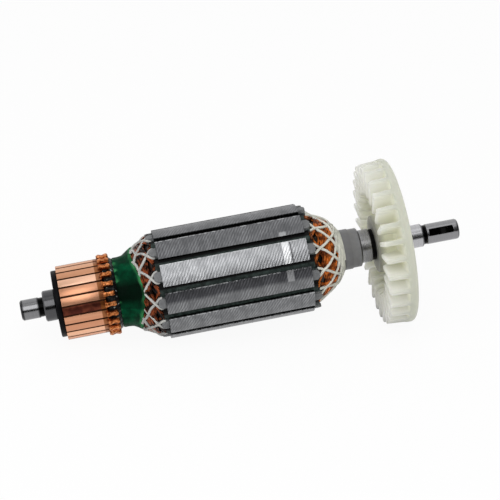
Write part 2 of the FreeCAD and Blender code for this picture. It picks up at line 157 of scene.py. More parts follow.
class Finish:
    """A material being put together: its tree, its shader and the shaft coordinates."""

    def __init__(self, name, **sockets):
        self.material = bpy.data.materials.new(name)
        self.material.use_nodes = True
        self.tree = self.material.node_tree
        self.shader = self.tree.nodes["Principled BSDF"]
        for title, value in sockets.items():
            self.shader.inputs[title.replace("_", " ")].default_value = value
        self.where = add(self.tree, "ShaderNodeGroup", node_tree=SHAFT_COORDINATES).outputs

    def add(self, kind, *values, **settings):
        """The first output of a new node."""
        return add(self.tree, kind, *values, **settings).outputs[0]

    def maths(self, operation, *values):
        return self.add("ShaderNodeMath", *values, operation=operation)

    def noise(self, scale, stretch=(1, 1, 1), detail=3.0):
        """Smooth noise from 0 to 1, stretched along the shaft's directions."""
        vector = self.add("ShaderNodeMapping", Vector=self.where["Straight"], Scale=stretch)
        return self.add("ShaderNodeTexNoise", Vector=vector, Scale=scale, Detail=detail)

    def ramp(self, factor, *stops):
        """Colours or greys by position, given as (position, colour) pairs."""
        made = add(self.tree, "ShaderNodeValToRGB", factor)
        elements = made.color_ramp.elements
        while len(elements) < len(stops):
            elements.new(0.5)
        for element, (position, colour) in zip(elements, stops):
            element.position = position
            element.color = (*colour, 1) if isinstance(colour, tuple) else (colour, colour, colour, 1)
        return made.outputs[0]

    def mix(self, factor, first, second, blend="MIX"):
        """A colour between two others."""
        made = add(self.tree, "ShaderNodeMix", data_type="RGBA", blend_type=blend)
        for socket, value in zip((made.inputs[0], made.inputs[6], made.inputs[7]), (factor, first, second)):
            if isinstance(value, bpy.types.NodeSocket):
                self.tree.links.new(value, socket)
            else:
                socket.default_value = (*value, 1) if isinstance(value, tuple) else value
        return made.outputs[2]

    def colour(self, socket):
        self.tree.links.new(socket, self.shader.inputs["Base Color"])

    def roughness(self, socket):
        self.tree.links.new(socket, self.shader.inputs["Roughness"])

    def bump(self, height, distance, strength=1.0):
        """Relief without geometry, its depth in metres."""
        made = add(self.tree, "ShaderNodeBump", Strength=strength, Distance=distance, Height=height)
        self.tree.links.new(made.outputs[0], self.shader.inputs["Normal"])

    def degrees(self):
        """The angle round the shaft in degrees."""
        return self.maths("DEGREES", self.where["Angle"])

    def limits(self, value, low, high, soft):
        """1 where a value is between two limits, with soft ends."""
        rise = self.add("ShaderNodeMapRange", value, low - soft, low + soft, 0.0, 1.0)
        fall = self.add("ShaderNodeMapRange", value, high - soft, high + soft, 1.0, 0.0)
        return self.maths("MULTIPLY", rise, fall)

    def patchy_roughness(self, patches, low, high):
        """Roughness between two values, by a noise."""
        self.roughness(self.add("ShaderNodeMapRange", patches, *NOISE_MIDDLE, low, high))

    def done(self):
        print("finish:", self.material.name)
        return self.material


# %% [markdown]
# A shaft like this is ground between centres, which leaves very fine rings round it. The wheel doesn't
# reach the chamfers, the two grooves and the floor of the key slot, and these are black in the
# photograph. The chamfers keep the dull tone of unground steel. The grooves and the floor of the key slot
# are painted black, as painted shade in these recesses. The finish tells them apart by their station and
# radius, so that one material does for the whole shaft. Each ground length is made lighter or darker by
# its own factor, which is partly painted light and shade.

# %% Ground shaft
# The third number of each length is its painted brightness, partly painted light and shade.
GROUND_LENGTHS = ((0.9, 5.9, 0.65), (132.8, 139.5, 1.35), (141.2, 152.2, 0.8))  # from, to, shine
GROOVE_SHADE_LENGTHS = ((6.2, 8.0), (140.0, 141.1))
KEY_SLOT, PINION_RADIUS, BELOW_SURFACE = (141.3, 151.0), 3.5, 0.04
GROUND_SOFT, RECESS_SHADE_SOFT = 0.25, 0.05
GROUND_TONES = ((0.27, 0.27, 0.28), (0.40, 0.40, 0.41))
UNGROUND_TONE, RECESS_SHADE_TONE = (0.035, 0.035, 0.038), (0.003, 0.003, 0.003)
TURNING_MARKS, MARKS_DEPTH = (2.4, 0.05, 0.05), 0.000004


def ground_shaft():
    finish = Finish("ground shaft", Metallic=1.0)
    along = finish.where["Along"]
    marks = finish.noise(3.0, TURNING_MARKS)
    ground = 0.0
    for low, high, painted_brightness in GROUND_LENGTHS:
        length = finish.maths("MULTIPLY", finish.limits(along, low, high, GROUND_SOFT), painted_brightness)
        ground = finish.maths("ADD", ground, length)
    # Painted shade: black on the floor and walls of the key slot, and in the two grooves.
    black = finish.maths("MULTIPLY", finish.limits(along, *KEY_SLOT, RECESS_SHADE_SOFT),
                         finish.maths("LESS_THAN", finish.where["Radius"], PINION_RADIUS - BELOW_SURFACE))
    for low, high in GROOVE_SHADE_LENGTHS:
        black = finish.maths("MAXIMUM", black, finish.limits(along, low, high, RECESS_SHADE_SOFT))
    painted_tone = finish.mix(1.0, finish.mix(marks, *GROUND_TONES), ground, "MULTIPLY")
    tone = finish.mix(1.0, painted_tone, UNGROUND_TONE, "LIGHTEN")
    finish.colour(finish.mix(black, tone, RECESS_SHADE_TONE))
    finish.patchy_roughness(marks, 0.20, 0.25)
    finish.bump(marks, MARKS_DEPTH, 0.1)
    return finish.done()


GROUND_STEEL = ground_shaft()

# %% [markdown]
# The collar by the commutator and the bush by the fan are turned steel, the collar the darker of the two.
# They show the same rings as the shaft, with a cloudiness over them, so one function makes both.

# %% Turned steels
def turned_steel(name, colour, roughness, rings):
    """Steel whose rings and clouds are darker than its colour by twice the share that rings gives."""
    finish = Finish(name, Metallic=1.0)
    marks = finish.noise(3.0, TURNING_MARKS)
    cloud = finish.noise(0.35, detail=2.0)
    dark = tuple(c * (1 - rings * 2) for c in colour)
    tone = finish.mix(marks, dark, colour)
    finish.colour(finish.mix(finish.maths("MULTIPLY", cloud, 0.35), tone, dark))
    finish.patchy_roughness(marks, roughness - 0.06, roughness + 0.08)
    finish.bump(marks, MARKS_DEPTH, 0.3)
    return finish.done()


DARK_STEEL = turned_steel("dark steel", (0.12, 0.12, 0.125), 0.19, 0.25)
BRIGHT_STEEL = turned_steel("bright steel", (0.30, 0.30, 0.305), 0.26, 0.2)

# %% [markdown]
# The commutator's bars are hard copper, turned after assembly. In the photograph they differ in tone. An
# image of the real thing could be wrapped round, but it would hold the light of its own day. Here a white
# noise of each bar's number gives it a tone of its own, and the marks of the turning tool run over all of
# them. A painted shade makes the upper bars browner, a painted highlight lightens one bar, and one bar is
# burnt. The track ends at a dull shoulder, and the tangs behind it are spotted dark.

# %% Copper
BAR_COUNT = 24
BAR_GAP_ANGLE = 157.0  # of the gap before the burnt bar, which has number 0
BARS_START, TANG_END = measured("commutator_bar_01")[:2]
TRACK_LENGTH, TRACK_RADIUS, EDGE_WIDTH = 12.8, 12.65, 0.27
TRACK_END, TANG_START = BARS_START + TRACK_LENGTH, measured("commutator_mica")[1]
BAR_TONES = ((0.0, (0.66, 0.31, 0.18)), (0.35, (0.86, 0.45, 0.27)), (0.7, (0.97, 0.58, 0.38)),
             (1.0, (0.82, 0.44, 0.33)))
MARK_TONE, SHOULDER_TONE, EDGE_TONE = (0.55, 0.22, 0.10), (0.26, 0.085, 0.022), (0.075, 0.024, 0.009)
# Painted shade browns the upper bars, and a painted highlight lightens one bar.
SHADED_UPPER_BARS, UPPER_BAR_SHADE = (40.0, 112.0), (0.80, 0.78, 0.76)
HIGHLIT_BAR, BAR_HIGHLIGHT_TONE = (112.0, 127.0), (0.97, 0.60, 0.42)
BURNT_TONES = ((0.40, (0.085, 0.022, 0.015)), (0.7, (0.19, 0.052, 0.028)))
TANG_TONES = ((0.35, (0.17, 0.04, 0.012)), (0.5, (0.50, 0.16, 0.045)), (0.68, (0.85, 0.36, 0.15)))


def bar_tones(finish, number, marks):
    """The tone of each bar's track, from its number and the turning marks, with a painted shade on the upper
    bars and a painted highlight on one.
    """
    own = finish.add("ShaderNodeTexWhiteNoise", W=number, noise_dimensions="1D")
    bar = finish.ramp(own, *BAR_TONES)
    bar = finish.mix(finish.limits(finish.degrees(), *HIGHLIT_BAR, 0.3), bar, BAR_HIGHLIGHT_TONE)
    bar = finish.mix(finish.maths("MULTIPLY", marks, 0.15), bar, MARK_TONE)
    bar = finish.mix(finish.limits(finish.degrees(), *SHADED_UPPER_BARS, 3.0), bar, UPPER_BAR_SHADE, "MULTIPLY")
    burnt = finish.ramp(finish.noise(0.5), *BURNT_TONES)
    return finish.mix(finish.maths("COMPARE", number, 0.0, 0.5), bar, burnt)


def copper():
    finish = Finish("copper", Metallic=1.0)
    along = finish.where["Along"]
    turns = finish.maths("SUBTRACT", finish.where["Angle"], math.radians(BAR_GAP_ANGLE))
    number = finish.maths("FLOOR", finish.maths("MULTIPLY", turns, BAR_COUNT / math.tau))
    marks = finish.noise(2.2, (3.0, 0.06, 0.06))
    tone = bar_tones(finish, number, marks)
    shoulder = finish.add("ShaderNodeMapRange", along, TRACK_END - 0.1, TRACK_END + 0.1, 0.0, 0.85)
    tone = finish.mix(shoulder, tone, SHOULDER_TONE)
    from_gap = finish.maths("MULTIPLY", finish.maths("PINGPONG", turns, math.pi / BAR_COUNT), TRACK_RADIUS)
    edge = finish.add("ShaderNodeMapRange", from_gap, EDGE_WIDTH, EDGE_WIDTH + 0.12, 0.95, 0.0)
    edge = finish.maths("MULTIPLY", edge, finish.maths("LESS_THAN", along, TANG_START + 0.2))
    tone = finish.mix(edge, tone, EDGE_TONE)
    tang = finish.add("ShaderNodeMapRange", along, TANG_START, TANG_START + 0.3, 0.0, 1.0)
    finish.colour(finish.mix(tang, tone, finish.ramp(finish.noise(1.1), *TANG_TONES)))
    finish.patchy_roughness(marks, 0.36, 0.44)
    finish.bump(marks, MARKS_DEPTH, 0.4)
    return finish.done()


COPPER = copper()

# %% [markdown]
# Hub, mica, boards, papers and the black ring by the fan are dull: a dark or grey body with a faint
# cloudiness, and little reflection. One function makes them all, and each gets its own tone, roughness
# and share of mirror. The ring by the fan is nearly pure black, partly as painted shade of the gap where
# the bush enters the fan's hub.

# %% Mouldings, boards and papers
DULL_RELIEF = 0.00002


def dull(name, colour, roughness, cloud=0.15, grain=1.2, mirror=0.3):
    """A body whose clouds are darker than its colour by twice the share that cloud gives."""
    finish = Finish(name, Specular_IOR_Level=mirror)
    patches = finish.noise(grain)
    darker = tuple(c * (1 - cloud * 2) for c in colour)
    finish.colour(finish.mix(patches, darker, colour))
    finish.patchy_roughness(patches, roughness - 0.06, roughness + 0.06)
    finish.bump(finish.noise(grain * 6), DULL_RELIEF, 0.6)
    return finish.done()


BLACK_MOULDING = dull("black moulding", (0.003, 0.003, 0.004), 0.42, mirror=0.06)
MICA = dull("mica", (0.045, 0.016, 0.008), 0.8, mirror=0.05)
TUBE = dull("shaft tube", (0.10, 0.10, 0.10), 0.6)
BOARD = dull("pressed board", (0.20, 0.205, 0.21), 0.6, 0.3, 0.7)
SLOT_PAPER = dull("slot paper", (0.10, 0.12, 0.118), 0.5, 0.45, 0.7)
# Painted shade: the ring is nearly black, partly for the shaded gap round the bush.
GAP_SHADE_RING = dull("gap shade ring", (0.002, 0.002, 0.002), 0.6, mirror=0.05)

# %% [markdown]
# The grey sleeve by the fan steps down near its middle, as a tube does that is shrunk over two diameters.
# Its two halves differ by a shade, so the finish changes its tones at the step.

# %% Shrunk sleeve
SLEEVE_START, SLEEVE_END = measured("insulating_sleeve")[:2]
SLEEVE_STEP = SLEEVE_START + 3.0
NEAR_TONES = ((0.105, 0.105, 0.11), (0.165, 0.165, 0.172))
FAR_TONES = ((0.13, 0.13, 0.136), (0.18, 0.18, 0.186))


def shrunk_sleeve():
    finish = Finish("shrunk sleeve", Specular_IOR_Level=0.35, Roughness=0.42)
    along = finish.where["Along"]
    step = finish.add("ShaderNodeMapRange", along, SLEEVE_STEP - 0.2, SLEEVE_STEP + 0.2, 0.0, 1.0)
    patches = finish.noise(0.6)
    finish.colour(finish.mix(step, finish.mix(patches, *NEAR_TONES), finish.mix(patches, *FAR_TONES)))
    finish.bump(finish.noise(2.0), DULL_RELIEF, 0.6)
    return finish.done()


SLEEVE = shrunk_sleeve()

# %% [markdown]
# The fan looks like unfilled nylon. Light enters it, spreads and leaves again some millimetres away, so
# its vanes glow instead of casting hard shadows. A plain light colour would leave them hard, and
# subsurface scattering does what the light does. In the photograph the front of the hub is greyer, and
# the vanes are lightest between their ends. The tones follow that by station and radius, as painted
# shade on the front of the hub, the rim and the back, and as painted light between the vanes' ends.

# %% Nylon
# By radius: painted light between the vanes' ends, and painted shade at the rim.
NYLON_LIGHT_AND_SHADE = ((9.0, (0.62, 0.625, 0.48)), (18.5, (0.78, 0.785, 0.58)), (25.0, (0.88, 0.885, 0.725)),
               (27.3, (0.63, 0.64, 0.53)), (28.3, (0.40, 0.41, 0.355)))
FAN_TIP_RADIUS = 30.0
VANE_TIPS, FAN_BACK = measured("fan")[:2]
FAN_START = measured("fan_washer")[1]
# Painted shade: the front of the hub is greyed, and the back of the rim is darkened.
HUB_FACE, HUB_RADIUS, HUB_SHADE_TONE = (FAN_START + 0.3, FAN_START + 2.8), 12.0, (0.15, 0.15, 0.13)
BACK_FACE, BACK_SHADE_TONE = (FAN_BACK - 2.1, FAN_BACK - 0.8), (0.43, 0.44, 0.375)
PATCH_TONE = (0.48, 0.49, 0.40)


def nylon():
    finish = Finish("ivory nylon", Roughness=0.5, Specular_IOR_Level=0.12, Subsurface_Weight=1.0,
                    Subsurface_Scale=0.02, Subsurface_Radius=(1.0, 1.0, 0.85))
    along, radius = finish.where["Along"], finish.where["Radius"]
    share = finish.maths("DIVIDE", radius, FAN_TIP_RADIUS)
    tone = finish.ramp(share, *((reach / FAN_TIP_RADIUS, colour) for reach, colour in NYLON_LIGHT_AND_SHADE))
    tone = finish.mix(finish.add("ShaderNodeMapRange", along, *BACK_FACE, 0.0, 1.0), tone, BACK_SHADE_TONE)
    # Painted shade greys the front of the hub.
    front = finish.add("ShaderNodeMapRange", along, *HUB_FACE, 1.0, 0.0)
    grey = finish.maths("MULTIPLY", front, finish.maths("LESS_THAN", radius, HUB_RADIUS))
    tone = finish.mix(grey, tone, HUB_SHADE_TONE)
    patches = finish.maths("MULTIPLY", finish.noise(0.12, detail=2.0), 0.2)
    finish.colour(finish.mix(patches, tone, PATCH_TONE))
    finish.bump(finish.noise(1.0), 0.00001, 0.4)
    return finish.done()


NYLON = nylon()

# %% [markdown]
# The magnet wire is copper under a clear brown enamel: metal below, gloss above. Two layers of shader
# could show that, but at this size a half metallic one does, with patches for the varnish that lies over
# it. Between the wires nearly no light comes back, so the heap below them is painted almost black, as
# painted shade.

# %% Enamelled wire, and the heap in painted shade
def enamelled_wire(name, dark, light, metal=0.6):
    finish = Finish(name, Metallic=metal, Roughness=0.35, Specular_IOR_Level=0.3)
    patches = finish.noise(0.45, detail=1.0)
    finish.colour(finish.ramp(patches, (0.42, dark), (0.60, light)))
    return finish.done()


WIRE = enamelled_wire("enamelled wire", (0.010, 0.003, 0.001), (0.26, 0.058, 0.016))
FAN_WIRE = enamelled_wire("bright enamelled wire", (0.13, 0.028, 0.004), (0.60, 0.16, 0.025))
# Painted shade: the heap under the wires and the lead wires are nearly black.
HEAP_SHADE = enamelled_wire("heap in painted shade", (0.002, 0.001, 0.001), (0.008, 0.003, 0.001), metal=0.0)

# %% [markdown]
# The resin looks as if it was brushed on. It is dark green, and a painted shade makes it very dark on
# the side that faces the camera. It is light where it thins out at its edges. A colour by station alone
# would draw the edge as a straight line, so the mesh of the ring carries how near its edge each point is,
# as an attribute named rim.

# %% Resin
# Painted shade: the resin is darkest over these angles, on the side that faces the camera.
RESIN_SHADE_ANGLES, RESIN_SHADE_TONE = (132.0, 176.0), (0.0, 0.004, 0.0015)
RESIN_TONES, RIM_TONE = ((0.35, (0.0, 0.020, 0.008)), (0.7, (0.0, 0.058, 0.022))), (0.045, 0.24, 0.085)


def green_resin():
    finish = Finish("green resin", Roughness=0.5, Specular_IOR_Level=0.03)
    patches = finish.noise(0.35, detail=2.0)
    # Painted shade on the side that faces the camera.
    resin_shade = finish.limits(finish.degrees(), *RESIN_SHADE_ANGLES, 12.0)
    body = finish.mix(finish.maths("MULTIPLY", resin_shade, 0.95), finish.ramp(patches, *RESIN_TONES), RESIN_SHADE_TONE)
    edge = add(finish.tree, "ShaderNodeAttribute", attribute_name="rim").outputs["Fac"]
    finish.colour(finish.mix(edge, body, RIM_TONE))
    finish.bump(finish.noise(0.8), 0.0002, 0.6)
    return finish.done()


RESIN = green_resin()

# %% [markdown]
# Between the tangs lies black varnish with a few light specks in it, which are partly painted glints of
# its gloss. A noise makes both: a ramp that stays black up to a high threshold leaves only the noise's
# peaks light.

# %% Varnish
# The light peaks are partly painted glints.
VARNISH_AND_GLINT_TONES = ((0.62, (0.003, 0.003, 0.003)), (0.67, (0.12, 0.13, 0.12)), (0.74, (0.32, 0.36, 0.34)))


def dark_varnish():
    finish = Finish("dark varnish", Roughness=0.35, Specular_IOR_Level=0.12)
    specks_and_glints = finish.noise(1.1, detail=2.0)
    finish.colour(finish.ramp(specks_and_glints, *VARNISH_AND_GLINT_TONES))
    finish.bump(finish.noise(1.2), 0.0002, 0.7)
    return finish.done()


VARNISH = dark_varnish()

# %% [markdown]
# The core is a stack of thin steel sheets, turned on a lathe and then left bare. The tool has left
# slanting marks over the sheets' edges. They are far too fine to model, so a sine wave across the teeth
# draws them, with a noise that bends it and another that makes it fade here and there. A third noise,
# stretched round the shaft, gives each sheet its own tone.

# %% Core steel: sheets and marks
CORE_START, CORE_END, CORE_RADIUS = measured("lamination_stack")
HATCH_PITCH, HATCH_LEAN = 0.92, math.radians(60)
SHEET_TONES = ((0.15, (0.085, 0.087, 0.091)), (0.75, (0.36, 0.365, 0.375)))
CLOUD_TONE = (0.13, 0.132, 0.138)


def slanting_marks(finish):
    """A bent wave across the teeth, from 0 to 1."""
    maths, where = finish.maths, finish.where
    arc = maths("MULTIPLY", where["Angle"], CORE_RADIUS)
    across = maths("ADD", maths("MULTIPLY", where["Along"], math.sin(HATCH_LEAN)),
                   maths("MULTIPLY", arc, math.cos(HATCH_LEAN)))
    bend = maths("MULTIPLY", finish.noise(0.5), 5.0)
    wave = maths("SINE", maths("ADD", maths("MULTIPLY", across, math.tau / HATCH_PITCH), bend))
    return maths("MULTIPLY_ADD", wave, 0.5, 0.5)


def turned_sheets(finish, hatch):
    """The tone of the sheets' edges, with the marks over them."""
    sheets = finish.noise(2.0, (2.2, 0.03, 0.03), 2.0)
    strength = finish.add("ShaderNodeMapRange", finish.noise(0.3), 0.35, 0.65, 0.12, 0.5)
    marks = finish.maths("MULTIPLY", hatch, strength)
    tone = finish.ramp(finish.maths("ADD", marks, finish.maths("MULTIPLY", sheets, 0.55)), *SHEET_TONES)
    return finish.mix(finish.maths("MULTIPLY", finish.noise(0.16, detail=2.0), 0.5), tone, CLOUD_TONE)


# %% [markdown]
# The teeth differ. In the photograph one is much brighter than the others, and the next one is dark along
# its upper half. Here one tooth gets a painted highlight, the next one a painted shade along its upper
# half, and the teeth above them a milder painted shade. A light marking band crosses three teeth near the
# fan, with a dark line behind it, and is painted stronger on the bright tooth as part of its highlight.
# The lips of the slots are torn bright here and there, and a painted shade makes the inside of the slots
# nearly black. Each of these is a range of angles, stations or radii in which the tone changes.

# %% Core steel: teeth, band and lips
SLOT_COUNT, SLOT_ANGLE, SLOT_HALF = 12, 157.0, 1.1  # degrees to the middle of one, half its mouth in mm
SLOT_PITCH = 360 / SLOT_COUNT
# Painted highlight on one tooth, and painted shade on the upper half of the next and on the teeth above.
HIGHLIT_TOOTH, SHADED_STRIP, SHADED_UPPER_TEETH, TOOTH_SOFT = (128.0, 156.0), (158.0, 172.0), (66.0, 126.0), 2.0
TOOTH_LIGHT_AND_SHADE = ((HIGHLIT_TOOTH, (1.8, 1.8, 1.8)), (SHADED_STRIP, (0.40, 0.40, 0.42)),
               (SHADED_UPPER_TEETH, (0.78, 0.78, 0.79)))
BAND_STATIONS, BAND_ANGLES, BAND_TONE = (89.5, 91.8), (119.0, 172.5), (0.75, 0.76, 0.77)
LINE_STATIONS, LINE_ANGLES, LINE_TONE = (92.2, 92.6), (129.0, 158.5), (0.05, 0.05, 0.055)
LIP_WIDTHS, TORN_TONE = (SLOT_HALF - 0.2, SLOT_HALF + 0.35), (0.50, 0.51, 0.52)
# Painted shade inside the slots.
INSIDE_RADII, SLOT_SHADE_TONE = (CORE_RADIUS - 0.45, CORE_RADIUS - 0.25), (0.010, 0.011, 0.011)


def teeth_light_shade_and_band(finish, tone):
    """The teeth's painted highlight and painted shades, and the band and its line over three of them."""
    angle, along = finish.degrees(), finish.where["Along"]
    for angles, factor in TOOTH_LIGHT_AND_SHADE:
        tone = finish.mix(finish.limits(angle, *angles, TOOTH_SOFT), tone, factor, "MULTIPLY")
    band = finish.maths("MULTIPLY", finish.limits(along, *BAND_STATIONS, 0.15),
                        finish.limits(angle, *BAND_ANGLES, 1.0))
    # The band is painted stronger on the bright tooth, as part of its painted highlight.
    strength = finish.maths("MULTIPLY_ADD", finish.limits(angle, *HIGHLIT_TOOTH, TOOTH_SOFT), 0.5, 0.35)
    tone = finish.mix(finish.maths("MULTIPLY", band, strength), tone, BAND_TONE)
    line = finish.maths("MULTIPLY", finish.limits(along, *LINE_STATIONS, 0.1),
                        finish.limits(angle, *LINE_ANGLES, 1.0))
    return finish.mix(finish.maths("MULTIPLY", line, 0.8), tone, LINE_TONE)


def torn_lips(finish, tone):
    """Light flecks along one lip of every slot."""
    turn = finish.maths("FLOORED_MODULO", finish.maths("SUBTRACT", finish.degrees(), SLOT_ANGLE), SLOT_PITCH)
    lip = finish.maths("MULTIPLY", finish.maths("RADIANS", turn), CORE_RADIUS)
    flecks = finish.add("ShaderNodeMapRange", finish.noise(0.9), 0.47, 0.55, 0.0, 0.9)
    torn = finish.maths("MULTIPLY", finish.limits(lip, *LIP_WIDTHS, 0.1), flecks)
    return finish.mix(torn, tone, TORN_TONE)


def slot_shade(finish, tone):
    """Painted shade: nearly black inside the slots, and a little of that on the core's two end faces."""
    inside = finish.add("ShaderNodeMapRange", finish.where["Radius"], *INSIDE_RADII, 1.0, 0.0)
    between_faces = finish.limits(finish.where["Along"], CORE_START + 0.02, CORE_END - 0.02, 0.01)
    faces = finish.maths("MULTIPLY", finish.maths("SUBTRACT", 1.0, between_faces), 0.8)
    inside = finish.maths("MULTIPLY", inside, finish.maths("SUBTRACT", 1.0, faces))
    return finish.mix(inside, tone, SLOT_SHADE_TONE)


def core_steel():
    finish = Finish("core steel", Metallic=0.9)
    hatch = slanting_marks(finish)
    tone = teeth_light_shade_and_band(finish, turned_sheets(finish, hatch))
    finish.colour(slot_shade(finish, torn_lips(finish, tone)))
    finish.roughness(finish.add("ShaderNodeMapRange", hatch, 0.0, 1.0, 0.34, 0.46))
    finish.bump(hatch, 0.00006, 0.5)
    return finish.done()


CORE_STEEL = core_steel()

# %% [markdown]
# The wedge that closes a slot is a dark greenish strip. In the photograph it is black along one side,
# which looks like the shadow of the tooth's lip. Lamps alone didn't make it dark enough here, so the finish
# darkens the same side of every wedge, by the angle from the middle of its slot.

# %% Slot wedges
WEDGE_TONES = ((0.35, (0.010, 0.016, 0.014)), (0.7, (0.034, 0.050, 0.045)))
WEDGE_DARK = (0.001, 0.001, 0.001)
WEDGE_FADE = (-1.2, 0.6)  # degrees from the middle of the slot


def slot_wedge():
    finish = Finish("slot wedge", Roughness=0.6, Specular_IOR_Level=0.15)
    turn = finish.maths("SUBTRACT", finish.degrees(), SLOT_ANGLE - SLOT_PITCH / 2)
    across = finish.maths("SUBTRACT", finish.maths("FLOORED_MODULO", turn, SLOT_PITCH), SLOT_PITCH / 2)
    lit = finish.add("ShaderNodeMapRange", across, *WEDGE_FADE, 0.0, 1.0)
    finish.colour(finish.mix(lit, WEDGE_DARK, finish.ramp(finish.noise(0.7), *WEDGE_TONES)))
    finish.bump(finish.noise(2.0), 0.00003, 0.6)
    return finish.done()


SLOT_WEDGE = slot_wedge()

# %% [markdown]
# The twine looks like waxed thread. The net on the commutator's side is greyer than the one by the fan,
# perhaps from the dust of the brushes. One finish does for both: it changes its tones at the end of the
# core.

# %% Waxed twine
GREYED_TONES = ((0.3, (0.28, 0.28, 0.27)), (0.65, (0.44, 0.44, 0.415)))
CLEAN_TONES = ((0.3, (0.48, 0.48, 0.44)), (0.65, (0.66, 0.66, 0.59)))


def waxed_twine():
    finish = Finish("waxed twine", Roughness=0.6, Specular_IOR_Level=0.25, Sheen_Weight=0.15)
    patches = finish.noise(0.5)
    fan_side = finish.maths("GREATER_THAN", finish.where["Along"], CORE_END)
    greyed, clean = finish.ramp(patches, *GREYED_TONES), finish.ramp(patches, *CLEAN_TONES)
    finish.colour(finish.mix(fan_side, greyed, clean))
    finish.bump(finish.noise(3.0), 0.00005, 0.6)
    return finish.done()


TWINE = waxed_twine()

# %% [markdown]
# Most solids already have the right shape. They could be copied, but they are better left as they are,
# and only get their finish, node by node. The bars are 24 nodes, so whatever isn't in the list is copper.

# %% Finishes on the carried-over solids
FINISHES = {
    "shaft": GROUND_STEEL, "commutator_bush": DARK_STEEL, "commutator_hub": BLACK_MOULDING,
    "commutator_mica": MICA, "lead_wires": HEAP_SHADE, "resin_band": RESIN, "lamination_stack": CORE_STEEL,
    "shaft_insulation": TUBE, "end_insulator_commutator_side": BOARD, "end_insulator_fan_side": BOARD,
    "slot_liners": SLOT_PAPER, "slot_wedges": SLOT_WEDGE, "armature_winding": HEAP_SHADE,
    "lacing_commutator_end": TWINE, "lacing_fan_end": TWINE, "insulating_sleeve": SLEEVE,
    "fan_bush": BRIGHT_STEEL, "fan_washer": GAP_SHADE_RING, "fan": NYLON}
for name, node in frame["nodes"].items():
    finish = FINISHES.get(name, COPPER)
    node.data.materials.clear()
    node.data.materials.append(finish)
print("finished nodes", len(frame["nodes"]))

# %% [markdown]
# The pieces made here all start in shaft millimetres. One helper places such a mesh in the leaning rotor,
# gives it its finish, hangs it on the rotor's root body and hides the solids that it stands for. The
# place goes into the mesh and the object stays at the origin, as the imported solids do, so that patterns
# on Object coordinates stay where they are.

# %% Piece helpers
def outward(mesh):
    """Joins doubled points and turns every face to the outside."""
    work = bmesh.new()
    work.from_mesh(mesh)
    bmesh.ops.remove_doubles(work, verts=work.verts, dist=0.0001)
    bmesh.ops.recalc_face_normals(work, faces=work.faces)
    work.to_mesh(mesh)
    work.free()
    return mesh


def mesh_of(name, points, edges, faces):
    mesh = bpy.data.meshes.new(name)
    mesh.from_pydata(points, edges, faces)
    return mesh


def hand_over(name, mesh, material, slot, *nodes, corner=40):
    """A finished piece from a mesh in shaft millimetres. Edges sharper than the corner angle stay sharp."""
    mesh.transform(PLACE)
    mesh.materials.clear()
    mesh.materials.append(material)
    mesh.shade_smooth()
    mesh.set_sharp_from_angle(angle=math.radians(corner))
    piece = bpy.data.objects.new(name, mesh)
    bpy.context.scene.collection.objects.link(piece)
    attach(piece, "root")
    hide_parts(*nodes)
    print(name, "triangles", sum(len(face.vertices) - 2 for face in mesh.polygons))


def evaluated(carrier):
    """The mesh that an object's modifiers make. The object itself is taken away again."""
    graph = bpy.context.evaluated_depsgraph_get()
    mesh = bpy.data.meshes.new_from_object(carrier.evaluated_get(graph))
    bpy.data.objects.remove(carrier)
    return mesh


def carrier_of(mesh):
    carrier = bpy.data.objects.new(mesh.name, mesh)
    bpy.context.scene.collection.objects.link(carrier)
    return carrier


# %% [markdown]
# What repeats or follows a path is grown by Geometry Nodes. A loop over copies would do as well, but a
# tree keeps its sizes as named inputs that can be turned by hand. Its modifier gets them by their
# identifiers, and the result is baked into a plain mesh at once.

# %% Tree helpers
def new_tree(title, **inputs):
    """A tree with a geometry input and the named ones, and the sockets that bring them in."""
    tree = bpy.data.node_groups.new(title, "GeometryNodeTree")
    for name, kind in {"Geometry": "Geometry", **inputs, "Material": "Material"}.items():
        tree.interface.new_socket(name, in_out="INPUT", socket_type="NodeSocket" + kind)
    tree.interface.new_socket("Geometry", in_out="OUTPUT", socket_type="NodeSocketGeometry")
    return tree, add(tree, "NodeGroupInput").outputs


def close_tree(tree, geometry, material):
    real = add(tree, "GeometryNodeRealizeInstances", geometry).outputs[0]
    finished = add(tree, "GeometryNodeSetMaterial", Geometry=real, Material=material).outputs[0]
    add(tree, "NodeGroupOutput", finished)
    print("tree:", tree.name)


def grown(mesh, tree, **values):
    """The plain mesh that a tree makes from a mesh."""
    carrier = carrier_of(mesh)
    modifier = carrier.modifiers.new("tree", "NODES")
    modifier.node_group = tree
    sockets = {item.name: item.identifier for item in tree.interface.items_tree if item.in_out == "INPUT"}
    for name, value in values.items():
        modifier[sockets[name]] = value
    return evaluated(carrier)


# %% [markdown]
# Two trees do all the work. The first copies one item round the shaft: the bars, and later the fan's
# vanes. Points at the origin carry the copies, and each point turns its own copy by its number, which
# gives an even ring whatever the count.

# %% Tree: a ring of copies
def ring_tree():
    tree, given = new_tree("ring of copies", Count="Int", First="Float")
    points = add(tree, "GeometryNodePoints", Count=given["Count"]).outputs[0]
    index = add(tree, "GeometryNodeInputIndex").outputs[0]
    step = add(tree, "ShaderNodeMath", math.tau, given["Count"], operation="DIVIDE").outputs[0]
    turn = add(tree, "ShaderNodeMath", index, step, given["First"], operation="MULTIPLY_ADD").outputs[0]
    rotation = add(tree, "FunctionNodeEulerToRotation", add(tree, "ShaderNodeCombineXYZ", turn).outputs[0])
    copies = add(tree, "GeometryNodeInstanceOnPoints", Points=points, Instance=given["Geometry"],
                 Rotation=rotation.outputs[0]).outputs[0]
    close_tree(tree, copies, given["Material"])
    return tree


RING = ring_tree()

# %% [markdown]
# The second lays a round cord along every chain of edges that it gets: twine and wire are both that. The
# chain becomes a smooth curve through its points, and a circle is swept along it.

